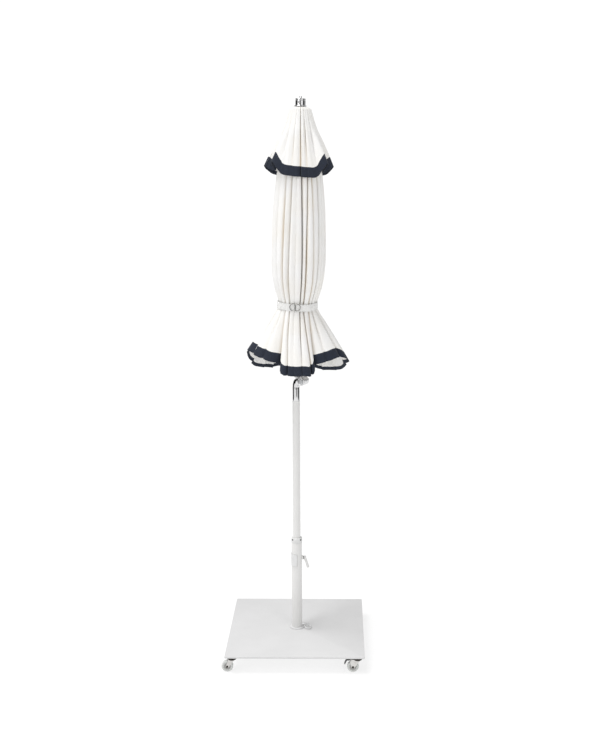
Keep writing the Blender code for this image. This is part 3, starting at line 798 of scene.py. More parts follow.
@dataclass
class Studio:
    """The camera, a pale floor and soft lights."""

    camera_at: tuple[float, float, float] = (0.1761, -4.5063, 2.2231)
    pitch: float = 0.2131
    lens: float = 51.34
    sensor: float = 36.0
    roll: float = 0.0042
    shift: float = -0.0493
    middle: tuple[float, float, float] = (0.0, 0.0, 1.1)
    floor_side: float = 24.0
    ambient: float = 0.6
    backdrop: float = 1.06
    key: float = 58.0
    fill: float = 32.0
    top: float = 1.62
    floor_glow: float = 0.7

    def build_camera(self) -> None:
        """Stand the camera at the viewing angle."""
        data = bpy.data.cameras.new("camera")
        data.lens = self.lens
        data.sensor_width = self.sensor
        data.shift_x = self.shift
        data.clip_end = 200.0
        camera = stand("camera", data)
        camera.location = self.camera_at
        turn = Matrix.Rotation(math.pi / 2 - self.pitch, 3, "X") @ Matrix.Rotation(self.roll, 3, "Z")
        camera.rotation_euler = turn.to_euler()
        bpy.context.scene.camera = camera

    def build_floor(self) -> None:
        """Lay a plain pale floor."""
        mesh = bmesh.new()
        bmesh.ops.create_grid(mesh, x_segments=1, y_segments=1, size=self.floor_side / 2)
        data = bpy.data.meshes.new("floor")
        mesh.to_mesh(data)
        mesh.free()
        nodes = Nodes("floor_paper")
        tone = nodes.noise(nodes.coordinates(), 0.4, 2.0)
        nodes.base(nodes.mix(tone, (0.3, 0.3, 0.3), (0.32, 0.32, 0.32)), 0.95)
        nodes.shader.inputs["Specular IOR Level"].default_value = 0.0
        nodes.shader.inputs["Emission Color"].default_value = (1.0, 1.0, 1.0, 1.0)
        nodes.shader.inputs["Emission Strength"].default_value = self.floor_glow
        data.materials.append(nodes.material)
        stand("floor", data)

    def add_light(
        self, name: str, place: Sequence[float], target: Sequence[float], size: float, power: float
    ) -> None:
        """Add a soft square light.

        Args:
            name: The light's name.
            place: Where it stands.
            target: What it points at.
            size: Its side.
            power: Its watts.
        """
        data = bpy.data.lights.new(name, "AREA")
        data.shape = "SQUARE"
        data.size = size
        data.energy = power
        light = stand(name, data)
        light.matrix_world = Matrix.Translation(place) @ turn_to(Vector(place) - Vector(target))

    def add_flag(self, name: str, low: Sequence[float], high: Sequence[float], tone: float) -> None:
        """Stand a dark card where only reflections see it.

        Args:
            name: The card's name.
            low: Its lowest corner.
            high: Its highest corner.
            tone: How light its grey is.
        """
        mesh = block(low, high)
        data = bpy.data.meshes.new(name)
        mesh.to_mesh(data)
        mesh.free()
        nodes = Nodes(f"{name}_black")
        nodes.base((tone, tone, tone), 1.0)
        data.materials.append(nodes.material)
        card = stand(name, data)
        for ray in ("camera", "shadow", "diffuse", "transmission"):
            setattr(card, f"visible_{ray}", False)

    def build(self) -> None:
        """Set up the whole studio."""
        self.build_camera()
        self.build_floor()
        world = bpy.data.worlds.new("studio")
        world.use_nodes = True
        tree = world.node_tree
        seen = tree.nodes.new("ShaderNodeLightPath")
        level = tree.nodes.new("ShaderNodeMapRange")
        level.inputs["To Min"].default_value = self.ambient
        level.inputs["To Max"].default_value = self.backdrop
        tree.links.new(seen.outputs["Is Camera Ray"], level.inputs["Value"])
        tree.links.new(level.outputs["Result"], tree.nodes["Background"].inputs["Strength"])
        tree.nodes["Background"].inputs["Color"].default_value = (1.0, 1.0, 1.0, 1.0)
        bpy.context.scene.world = world
        self.add_light("key", (-3.8, -3.6, 4.4), self.middle, 2.2, self.key)
        self.add_light("fill", (3.0, -4.8, 2.6), self.middle, 2.6, self.fill)
        overhead = bpy.data.lights.new("overhead", "SUN")
        overhead.angle = math.radians(28)
        overhead.energy = self.top
        lamp = stand("overhead", overhead)
        lamp.matrix_world = Matrix.Translation((-1.6, -0.4, 5.0)) @ turn_to((-0.34, -0.06, 1.0))
        self.add_flag("flag_left", (-2.6, -0.9, 0.2), (-2.5, 1.5, 4.0), 0.004)
        self.add_flag("flag_front", (0.2, -3.1, 0.2), (1.35, -3.0, 4.0), 0.004)
        self.add_flag("flag_right", (2.4, -2.4, 0.2), (2.5, 0.6, 4.0), 0.1)
        bpy.context.scene.view_settings.view_transform = "Standard"
        LOG.info("studio ready")


# ---------------------------------------------------------------- cloth


def periodic(knots: Sequence[float], values: Sequence[float], at: np.ndarray) -> np.ndarray:
    """A smooth closed curve through values at angles in degrees.

    Args:
        knots: Rising angles within one turn.
        values: The value at each.
        at: The angles wanted.

    Returns:
        The value at each angle.
    """
    x = np.array(knots, float)
    y = np.array(values, float)
    x = np.concatenate([x - 360, x, x + 360])
    y = np.tile(y, 3)
    slope = np.gradient(y, x)
    wrapped = (np.asarray(at, float) - knots[0]) % 360 + knots[0]
    i = np.clip(np.searchsorted(x, wrapped, side="right") - 1, 0, len(x) - 2)
    step = x[i + 1] - x[i]
    t = (wrapped - x[i]) / step
    return (
        (1 + 2 * t) * (1 - t) ** 2 * y[i] + t * (1 - t) ** 2 * step * slope[i]
        + t**2 * (3 - 2 * t) * y[i + 1] + t**2 * (t - 1) * step * slope[i + 1]
    )


@dataclass
class Crease:
    """One inward fold of gathered cloth.

    body and hem are its angles, in degrees from +X, in the gathered part and at the hem. inner is its
    radius in the gathered part, depth how much of the way in it goes at the hem, and tan how strongly
    the painted warm shade of its deep fold shows.
    """

    body: float
    inner: float
    hem: float
    depth: float
    tan: float = 0.0


@dataclass
class GatheredSheet:
    """A canopy tier: one sheet, gathered round the pole in tubes that open into lobes at its hem."""

    name: str
    node: str
    creases: tuple[Crease, ...]
    outline: tuple[Point, ...]
    open_from: float
    hem_knots: tuple[tuple[float, float, float], ...]
    inner: tuple[Point, ...]
    deep: float
    flat: tuple[float, float]
    area: float
    rests_on: tuple[str, ...]
    columns: int = 400
    rows: int = 110
    thickness: float = 0.0009
    tilt: float = 5.0
    seed: int = 1
    lobe_power: float = 4.6
    full_fold: float = 0.03
    wave: float = 0.0022
    sway: float = 2.2
    ripple: float = 0.0009
    least_fold: float = 0.0012

    def _columns(self) -> np.ndarray:
        """Space the columns evenly along a typical cross-section.

        Returns:
            Their fold coordinates.
        """
        fine = np.linspace(0.0, len(self.creases), 9001)
        x, y, _, _ = self._section(fine, 0.35)
        x2, y2, _, _ = self._section(fine, -0.35)
        step = np.hypot(np.diff(x), np.diff(y)) + np.hypot(np.diff(x2), np.diff(y2))
        along = np.concatenate([[0.0], np.cumsum(step)])
        return np.interp(np.linspace(0, along[-1], self.columns + 1), along, fine)

    def _section(
        self, fold: np.ndarray, level: float
    ) -> tuple[np.ndarray, np.ndarray, np.ndarray, np.ndarray]:
        """Work out one cross-section.

        Args:
            fold: Fold coordinates: crease k is at k, and the petals are between.
            level: From -1 at the top to 0 where the cloth starts to open, and to 1 at the hem.

        Returns:
            The x, y, z of each point and how strongly painted warm shade shows there, from 0 to 1.
        """
        count = len(self.creases)
        rng = np.random.default_rng(self.seed)
        jitter = rng.uniform(-1.0, 1.0, (count, 6))
        k = np.floor(fold).astype(int) % count
        after = (k + 1) % count
        t = fold - np.floor(fold)
        body = np.array([c.body for c in self.creases])
        hem = np.array([c.hem for c in self.creases])
        depth = np.array([c.depth for c in self.creases])
        inside = np.array([c.inner for c in self.creases])

        def between(values: np.ndarray) -> np.ndarray:
            """Run a value from each crease to the next.

            Args:
                values: The value at each crease.

            Returns:
                The value at each point.
            """
            return values[k] * (1 - t) + values[after] * t

        def angle_between(values: np.ndarray) -> np.ndarray:
            """Run an angle from each crease to the next, on through a whole turn.

            Args:
                values: The angle at each crease.

            Returns:
                The angle at each point.
            """
            last = np.where(after == 0, values[after] + 360.0, values[after])
            return values[k] * (1 - t) + last * t

        opened = max(level, 0.0)
        gathered = self.outline[0][0]
        start = self.outline[-1][0]
        drop_body = gathered + (self.open_from - gathered) * (1 + min(level, 0.0))
        blend = opened * opened * (3 - 2 * opened) * 0.6 + opened * 0.4
        angle = angle_between(body) * (1 - blend) + angle_between(hem) * blend
        knots = [h[0] for h in self.hem_knots]
        hem_radius = periodic(knots, [h[1] for h in self.hem_knots], angle_between(hem))
        hem_z = periodic(knots, [h[2] for h in self.hem_knots], angle_between(hem))
        z_body = POLE_TOP - drop_body
        z_open = POLE_TOP - self.open_from
        z = z_body + (hem_z - z_open) * opened if level > 0 else np.full_like(fold, z_body)
        drop = POLE_TOP - z
        outline = np.array(self.outline)
        body_radius = np.interp(np.full_like(fold, min(drop_body, start)), outline[:, 0], outline[:, 1])
        wave = np.sin(z * 9.0 + jitter[k, 0] * 6.0) * jitter[k, 1] * self.wave
        body_radius = body_radius * (1 + 0.025 * jitter[k, 2] * (1 - abs(level) ** 4)) + wave * (1 - opened)
        spread = opened**0.92
        outer = body_radius * (1 - spread) + hem_radius * spread

        inner_at = np.array(self.inner)
        frame = np.interp(drop, inner_at[:, 0], inner_at[:, 1])
        full = max(self.outline, key=lambda point: point[1])[1]
        base = frame + (body_radius - frame) * np.clip(
            (between(inside) - frame) / (full - frame), 0.02, 1.0
        )
        base = np.minimum(base, body_radius - 0.0015)
        hem_inner = hem_radius - between(depth) * (hem_radius - self.deep)
        inner = base * (1 - blend) + hem_inner * blend
        inner = np.minimum(inner, outer - self.least_fold)

        sharp = 1.0 - 0.6 * np.clip((outer - inner) / self.full_fold, 0.0, 1.0)
        swell = np.clip(1.0 - np.abs(2 * t - 1.0) ** self.lobe_power, 0.0, 1.0) ** sharp
        radius = inner + (outer - inner) * swell
        sway = np.sin(z * 5.5 + between(jitter[:, 5]) * 6.0) * self.sway * (1.0 - opened)
        lean = sway + (self.tilt * (1 + 0.4 * between(jitter[:, 3]))) * (1 - swell) * (1 - 0.75 * opened)
        ripple = np.sin(fold * math.tau * 2.0 + z * 14.0 + jitter[k, 4] * 3) * self.ripple * swell
        radius = radius + ripple
        turn = np.radians(angle + lean)
        # Painted warm shade: strongest next to each crease, scaled by the crease's tan and varied down the fold.
        tan = between(np.array([c.tan for c in self.creases]))
        near = np.clip(1.0 - np.minimum(t, 1.0 - t) / 0.2, 0.0, 1.0) ** 1.4
        fold_shade_amount = near * tan * (0.55 + 0.45 * np.sin(z * 11.0 + jitter[k, 5] * 4.0))
        return radius * np.cos(turn), radius * np.sin(turn), z, fold_shade_amount

    def build(self, material: Material, lining: Material, edge: Material) -> bpy.types.Object:
        """Build the sheet.

        Args:
            material: The outside, with its wide hem band.
            lining: The inside, where only the band's turning shows.
            edge: The cut edge of the hem.

        Returns:
            The sheet's object.
        """
        folds = self._columns()
        count = self.rows + 1
        share = np.linspace(-1.0, 1.0, count)
        grid = np.zeros((count, len(folds), 3))
        # deep holds, for each point, how strongly the painted warm shade of its crease shows.
        deep = np.zeros((count, len(folds)))
        for j, level in enumerate(share):
            x, y, z, fold_shade_amount = self._section(folds, level)
            grid[j, :, 0], grid[j, :, 1], grid[j, :, 2] = x, y, z
            deep[j] = fold_shade_amount
        grid[:, -1] = grid[:, 0]
        step_up = np.linalg.norm(np.diff(grid, axis=0), axis=2)
        height = np.concatenate([np.cumsum(step_up[::-1], axis=0)[::-1], np.zeros((1, len(folds)))])
        middle = grid[count // 2]
        around = np.concatenate([[0.0], np.cumsum(np.linalg.norm(np.diff(middle, axis=0), axis=1))])

        mesh = bmesh.new()
        bmesh.ops.create_grid(mesh, x_segments=self.columns, y_segments=self.rows, size=1.0)
        # The crease layer carries that painted warm shade to the cloth's material.
        fold_shade_layer = mesh.verts.layers.float.new("crease")
        surface = mesh.loops.layers.uv.new("UVMap")
        spots = {}
        for vert in mesh.verts:
            i = round((vert.co.x + 1) / 2 * self.columns)
            j = self.rows - round((vert.co.y + 1) / 2 * self.rows)
            spots[vert] = (i, j)
        for face in mesh.faces:
            for loop in face.loops:
                i, j = spots[loop.vert]
                loop[surface].uv = (around[i], height[j, i])
        for vert, (i, j) in spots.items():
            vert.co = grid[j, i]
            vert[fold_shade_layer] = deep[j, i]
        bmesh.ops.remove_doubles(
            mesh, verts=[v for v, s in spots.items() if s[0] in (0, self.columns)], dist=1e-7
        )
        cover = Piece(self.name, "canopy", material, "canopy_cloth", (self.node,), Shade.ROUND)
        made = cover.build(mesh, UPPER_PLACE)
        made.data.materials.append(lining)
        made.data.materials.append(edge)
        wall = made.modifiers.new("cloth_thickness", "SOLIDIFY")
        wall.thickness = self.thickness
        wall.offset = -1.0
        wall.material_offset = 1
        wall.material_offset_rim = 2
        return made


def main_canopy() -> GatheredSheet:
    """Shape the main canopy: tubes above the strap and lobes below it.

    Returns:
        The sheet.
    """
    # Each row: body, inner, hem, depth and, where given, tan, the strength of the painted warm shade in that fold.
    rows = (
        (-7.5, 0.092, -4.0, 0.12, 0.1), (6.0, 0.03, 11.0, 0.14, 0.1), (22.5, 0.036, 28.0, 0.22, 0.1),
        (37.5, 0.078, 48.0, 0.8, 0.3), (52.0, 0.03, 60.0, 0.25), (68.0, 0.06, 76.0, 0.2),
        (82.5, 0.078, 90.0, 0.55, 0.3), (97.0, 0.03, 104.0, 0.25), (113.0, 0.036, 117.0, 0.3),
        (127.5, 0.08, 131.0, 0.82, 0.3), (141.0, 0.03, 146.0, 0.22), (158.0, 0.06, 161.0, 0.24),
        (172.5, 0.078, 176.0, 0.1), (185.0, 0.03, 188.0, 0.08), (199.0, 0.04, 200.0, 0.06),
        (215.0, 0.098, 213.0, 0.08), (235.0, 0.06, 238.0, 0.95, 1.0), (250.5, 0.034, 257.0, 0.16, 0.4),
        (261.0, 0.104, 267.0, 0.04), (279.0, 0.036, 281.0, 0.07, 0.35), (292.0, 0.088, 298.0, 0.46, 0.7),
        (305.5, 0.078, 308.0, 0.88, 0.9), (320.0, 0.094, 322.0, 0.08, 0.1), (337.0, 0.03, 339.0, 0.1, 0.1)
    )
    return GatheredSheet(
        name="canopy_sheet", node="canopy_main", creases=tuple(Crease(*row) for row in rows),
        outline=(
            (0.17, 0.07), (0.19, 0.076), (0.27, 0.094), (0.33, 0.101), (0.43, 0.109), (0.56, 0.1135),
            (0.64, 0.1135), (0.7, 0.109), (0.74, 0.101), (0.77, 0.092), (0.795, 0.083), (0.812, 0.0795),
            (0.83, 0.0795)
        ),
        open_from=0.826,
        hem_knots=(
            (5.0, 0.2, 1.276), (24.0, 0.16, 1.258), (44.0, 0.12, 1.262), (66.0, 0.165, 1.29),
            (88.0, 0.15, 1.28), (112.0, 0.17, 1.3), (132.0, 0.125, 1.268), (152.0, 0.16, 1.262),
            (172.0, 0.196, 1.285), (190.0, 0.214, 1.36), (205.0, 0.19, 1.345), (222.0, 0.16, 1.328),
            (238.0, 0.13, 1.312), (247.0, 0.155, 1.284), (262.0, 0.156, 1.276), (285.0, 0.155, 1.276),
            (299.0, 0.16, 1.28), (308.0, 0.14, 1.312), (322.0, 0.17, 1.33), (338.0, 0.205, 1.346),
            (351.0, 0.23, 1.322)
        ),
        inner=((0.17, 0.032), (0.4, 0.032), (0.7, 0.034), (0.822, 0.036), (0.9, 0.042)), deep=0.044,
        flat=(1.94, 1.94), area=2.75,
        rests_on=(
            "rib_1", "rib_2", "rib_3", "rib_4", "rib_5", "rib_6", "rib_7", "rib_8", "tie_strap_webbing"
        ),
        seed=4, tilt=5.0
    )


def vent_canopy() -> GatheredSheet:
    """Shape the vent tier: a short cone of folds with a swagged hem.

    Returns:
        The sheet.
    """
    # Each row: body, inner, hem, depth and, where given, tan, the strength of the painted warm shade in that fold.
    rows = (
        (4.0, 0.056, 15.0, 0.1, 0.1), (27.0, 0.04, 34.0, 0.62, 0.2), (50.0, 0.058, 56.0, 0.1),
        (72.0, 0.05, 76.0, 0.25), (95.0, 0.04, 96.0, 0.75, 0.2), (117.0, 0.058, 114.0, 0.15),
        (140.0, 0.042, 146.0, 0.6, 0.2), (160.0, 0.058, 166.0, 0.1), (182.0, 0.056, 184.0, 0.1),
        (204.0, 0.048, 198.0, 0.55, 0.2), (230.0, 0.0635, 229.0, 0.05), (252.0, 0.061, 253.0, 0.1, 0.2),
        (273.0, 0.038, 274.0, 0.85, 0.9), (288.0, 0.06, 288.0, 0.1, 0.2), (311.0, 0.0635, 309.0, 0.05),
        (334.0, 0.048, 340.0, 0.55, 0.2)
    )
    return GatheredSheet(
        name="vent_sheet", node="canopy_vent", creases=tuple(Crease(*row) for row in rows),
        outline=(
            (0.0015, 0.0225), (0.0035, 0.036), (0.01, 0.045), (0.03, 0.051), (0.053, 0.0575),
            (0.076, 0.066), (0.09, 0.072)
        ),
        open_from=0.088,
        hem_knots=(
            (2.0, 0.141, 2.132), (16.0, 0.128, 2.104), (34.0, 0.1, 2.092), (58.0, 0.14, 2.135),
            (76.0, 0.118, 2.095), (96.0, 0.098, 2.092), (124.0, 0.144, 2.14), (146.0, 0.104, 2.092),
            (162.0, 0.126, 2.098), (180.0, 0.147, 2.128), (198.0, 0.112, 2.112), (215.0, 0.136, 2.15),
            (232.0, 0.124, 2.106), (252.0, 0.112, 2.095), (274.0, 0.108, 2.092), (292.0, 0.114, 2.09),
            (309.0, 0.126, 2.096), (324.0, 0.146, 2.148), (340.0, 0.112, 2.108)
        ),
        inner=((0.0, 0.022), (0.03, 0.037), (0.062, 0.039), (0.15, 0.045)), deep=0.092, flat=(0.6, 0.6),
        area=0.255, rests_on=("top_hub", "finial"), columns=360, rows=90, seed=11, tilt=6.0
    )


# ---------------------------------------------------------------- strap and finial


@dataclass
class Strap:
    """The webbing round the furled canopy, with two D-shaped rings."""

    height: float = POLE_TOP - 0.8175
    radius: float = 0.0838
    half_width: float = 0.015
    thickness: float = 0.0016
    buckle_heading: float = -94.0
    tail_from: float = 4.0
    tail_turn: float = 40.0
    tail_share: float = 0.92
    ring_radius: float = 0.015
    ring_wire: float = 0.0017

    def band(self) -> Mesh:
        """Shape the webbing, drawn in slightly between the folds that it presses on.

        Returns:
            The webbing.
        """
        mesh = lathe(
            rounded(
                [
                    (self.radius, self.height - self.half_width),
                    (self.radius + self.thickness, self.height - self.half_width),
                    (self.radius + self.thickness, self.height + self.half_width),
                    (self.radius, self.height + self.half_width)
                ],
                self.thickness * 0.4, 2
            ),
            288
        )
        surface = mesh.loops.layers.uv.new("UVMap")
        for face in mesh.faces:
            middle = face.calc_center_median()
            around = math.atan2(middle.y, middle.x)
            for loop in face.loops:
                spot = loop.vert.co
                angle = math.atan2(spot.y, spot.x)
                angle += math.tau * round((around - angle) / math.tau)
                loop[surface].uv = (angle * self.radius, spot.z - self.height)
        for vert in mesh.verts:
            angle = math.atan2(vert.co.y, vert.co.x)
            pull = 0.0009 * math.cos(24 * angle) + 0.0006 * math.sin(7 * angle + 1.0)
            radius = vert.co.xy.length
            vert.co.xy *= (radius + pull) / radius
            vert.co.z += 0.0014 * math.sin(2 * angle + 0.6)
        return mesh

    def tail(self) -> Mesh:
        """Shape the strap's free end, folded back over the band beside the rings.

        Returns:
            The free end.
        """
        mesh = bmesh.new()
        bmesh.ops.create_grid(mesh, x_segments=24, y_segments=4, size=1.0)
        surface = mesh.loops.layers.uv.new("UVMap")
        start = math.radians(self.buckle_heading)
        for face in mesh.faces:
            for loop in face.loops:
                loop[surface].uv = (
                    loop.vert.co.x * 0.03, loop.vert.co.y * self.half_width * self.tail_share
                )
        for vert in mesh.verts:
            along = (vert.co.x + 1) / 2
            angle = start + math.radians(self.tail_from + self.tail_turn * along)
            radius = self.radius + self.thickness + 0.0012 + 0.0022 * along**2
            vert.co = (
                radius * math.cos(angle), radius * math.sin(angle),
                self.height + vert.co.y * self.half_width * self.tail_share - 0.003 * along**2
            )
        bmesh.ops.recalc_face_normals(mesh, faces=mesh.faces)
        bmesh.ops.solidify(mesh, geom=mesh.faces[:], thickness=-self.thickness)
        bmesh.ops.recalc_face_normals(mesh, faces=mesh.faces)
        return mesh

    def dee(self, index: int) -> Mesh:
        """One D ring, flat on one side, standing on the band.

        Args:
            index: 0 for the ring under, 1 for the ring over.

        Returns:
            The ring.
        """
        mesh = ring(self.ring_radius, self.ring_wire, 40, 12)
        flat_at = self.ring_radius * 0.55
        for vert in mesh.verts:
            angle = math.atan2(vert.co.y, vert.co.x)
            centre = self.ring_radius * math.cos(angle)
            if centre < -flat_at:
                vert.co.x += -flat_at - centre
        if index == 0:
            bmesh.ops.rotate(
                mesh, verts=mesh.verts, cent=(0, 0, 0), matrix=Matrix.Rotation(math.pi, 3, "Z")
            )
        placed(mesh, Matrix.Rotation(math.radians(-6 + 14 * index), 4, "X"))
        out = heading(self.buckle_heading)
        across = heading(self.buckle_heading + 90)
        level = self.radius + self.thickness + 0.0024 + index * 0.0034
        side = across * (0.0075 * (2 * index - 1))
        frame = Matrix(
            (
                (across.x, 0.0, out.x, 0.0), (across.y, 0.0, out.y, 0.0), (0.0, 1.0, 0.0, 0.0),
                (0.0, 0.0, 0.0, 1.0)
            )
        )
        if frame.determinant() < 0:
            frame = frame @ Matrix.Diagonal((1, -1, 1, 1))
        place = Matrix.Translation(out * level + side + Vector((0, 0, self.height + 0.003)))
        placed(mesh, place @ frame)
        return mesh

    def build(self, webbing: Material, chrome: Material) -> None:
        """Build the strap and its rings.

        Args:
            webbing: The strap's finish.
            chrome: The rings' finish.
        """
        band = Piece("tie_strap_webbing", "canopy", webbing, "strap_cloth", ("tie_strap",), Shade.SOFT)
        band.build(self.band(), UPPER_PLACE)
        tail = Piece("tie_strap_tail", "canopy", webbing, "strap_cloth", (), Shade.SOFT)
        tail.build(self.tail(), UPPER_PLACE)
        for index in range(2):
            node = f"strap_ring_{index + 1}"
            dee = Piece(f"d_ring_{index + 1}", "canopy", chrome, "zinc", (node,), Shade.ROUND)
            dee.build(self.dee(index), UPPER_PLACE)


@dataclass
class Finial:
    """The chrome cap on the pole's top, with its small nub."""

    radius: float = 0.0215
    height: float = 0.031
    nub_radius: float = 0.005
    nub_height: float = 0.01
    collar: float = 0.026

    def build(self, chrome: Material) -> None:
        """Build the cap.

        Args:
            chrome: Its finish.
        """
        low = POLE_TOP + GAP
        crown = low + self.height
        outline = [
            (0.0, low - 0.02), (0.012, low - 0.02), (0.012, low), (self.collar, low),
            (self.collar, low + 0.003), (self.radius, low + 0.0045), (self.radius, low + 0.023),
            (self.radius - 0.0012, low + 0.024), (self.radius - 0.0012, low + 0.0252),
            (self.radius, low + 0.0262), (self.radius, crown), (self.nub_radius + 0.003, crown),
            (self.nub_radius, crown + 0.0025), (self.nub_radius, crown + self.nub_height),
            (0.0, crown + self.nub_height)
        ]
        mesh = turned(outline, 0.0012, 96)
        Piece("finial_cap", "canopy", chrome, "chrome", ("finial",)).build(mesh, UPPER_PLACE)


# ---------------------------------------------------------------- tilt joint


@dataclass
class TiltJoint:
    """The chrome elbow and knuckle between the two poles, with its push button."""

    sleeve: float = 0.062
    rise: float = 0.03
    radius: float = 0.018
    width: float = 0.021
    button: float = 0.0115

    def place(self) -> Matrix:
        """Find the knuckle's frame: X along the pole's heading, Y along the pin.

        Returns:
            The frame.
        """
        return TO_KNUCKLE @ Matrix.Rotation(POLE_HEADING, 4, "Z")

    def half(self, side: Side) -> Mesh:
        """One half: sleeve, elbow and knuckle disc.

        Args:
            side: Which half.

        Returns:
            The shape, in the knuckle's frame.
        """
        offset = KNUCKLE_AT.xy.length
        sleeve = turned(
            [
                (0.0, -self.rise - self.sleeve), (POLE_RADIUS, -self.rise - self.sleeve),
                (POLE_RADIUS, -self.rise + 0.0008), (0.0, -self.rise + 0.0008)
            ],
            0.0006, 64
        )
        bmesh.ops.translate(sleeve, verts=sleeve.verts, vec=(-offset, 0, 0))
        elbow = bmesh.new()
        start = bmesh.ops.create_circle(elbow, cap_ends=True, segments=64, radius=POLE_RADIUS - 0.0001)
        bmesh.ops.translate(elbow, verts=start["verts"], vec=(-offset, 0, -self.rise))
        centre = Vector((-offset + self.rise, 0.0, -self.rise))
        faces = elbow.faces[:]
        bmesh.ops.spin(
            elbow, geom=faces + elbow.edges[:] + elbow.verts[:], cent=centre, axis=(0, 1, 0),
            angle=math.pi / 2, steps=24
        )
        for vert in elbow.verts:
            spot = vert.co - centre
            turn = math.atan2(spot.z, -spot.x) / (math.pi / 2)
            share = min(max(turn / 0.6, 0.0), 1.0)
            share = share * share * (3 - 2 * share)
            vert.co.y = vert.co.y * (1 - 0.5 * share) - 0.011 * share
        bmesh.ops.recalc_face_normals(elbow, faces=elbow.faces)
        outline = [
            (0.0, -self.width), (self.button + 0.0012, -self.width),
            (self.button + 0.002, -self.width - 0.0006), (self.radius - 0.0022, -self.width - 0.0004),
            (self.radius, -self.width + 0.0022), (self.radius, -GAP / 2 - 0.0008),
            (self.radius - 0.0008, -GAP / 2), (0.0, -GAP / 2)
        ]
        disc = turned(outline, 0.0008, 64)
        placed(disc, ALONG_Y)
        mesh = join(sleeve, elbow, disc)
        if side is Side.UPPER:
            placed(mesh, Matrix.Diagonal((1, -1, -1, 1)))
        return mesh

    def build(self, chrome: Material, satin: Material) -> None:
        """Build both halves, the button and the pin's head.

        Args:
            chrome: The fittings' finish.
            satin: The button's finish.
        """
        lower = placed(self.half(Side.LOWER), self.place())
        Piece("tilt_elbow_lower", "pole", chrome, "chrome", ("tilt_socket",), Shade.SOFT).build(lower)
        upper = placed(self.half(Side.UPPER), self.place())
        Piece("tilt_elbow_upper", "canopy", chrome, "chrome", ("tilt_head",), Shade.SOFT).build(
            upper, UPPER_PLACE
        )
        front = -self.width
        button = turned(
            [
                (0.0, front - 0.0035), (self.button * 0.72, front - 0.0035),
                (self.button * 0.78, front - 0.003), (self.button, front - 0.0028),
                (self.button, front + 0.003), (0.0, front + 0.003)
            ],
            0.0007, 64
        )
        Piece("tilt_push_button", "tilt_button", satin, "chrome", ("tilt_button",)).build(
            placed(button, self.place() @ ALONG_Y)
        )
        head = turned(
            [
                (0.0, self.width + GAP), (0.012, self.width + GAP), (0.012, self.width + 0.0025),
                (0.006, self.width + 0.0033), (0.0048, self.width + 0.0022), (0.0, self.width + 0.0022)
            ],
            0.0008, 48
        )
        Piece("tilt_pin_head", "pole", chrome, "chrome", ("tilt_pin",)).build(
            placed(head, self.place() @ ALONG_Y)
        )


# ---------------------------------------------------------------- stem


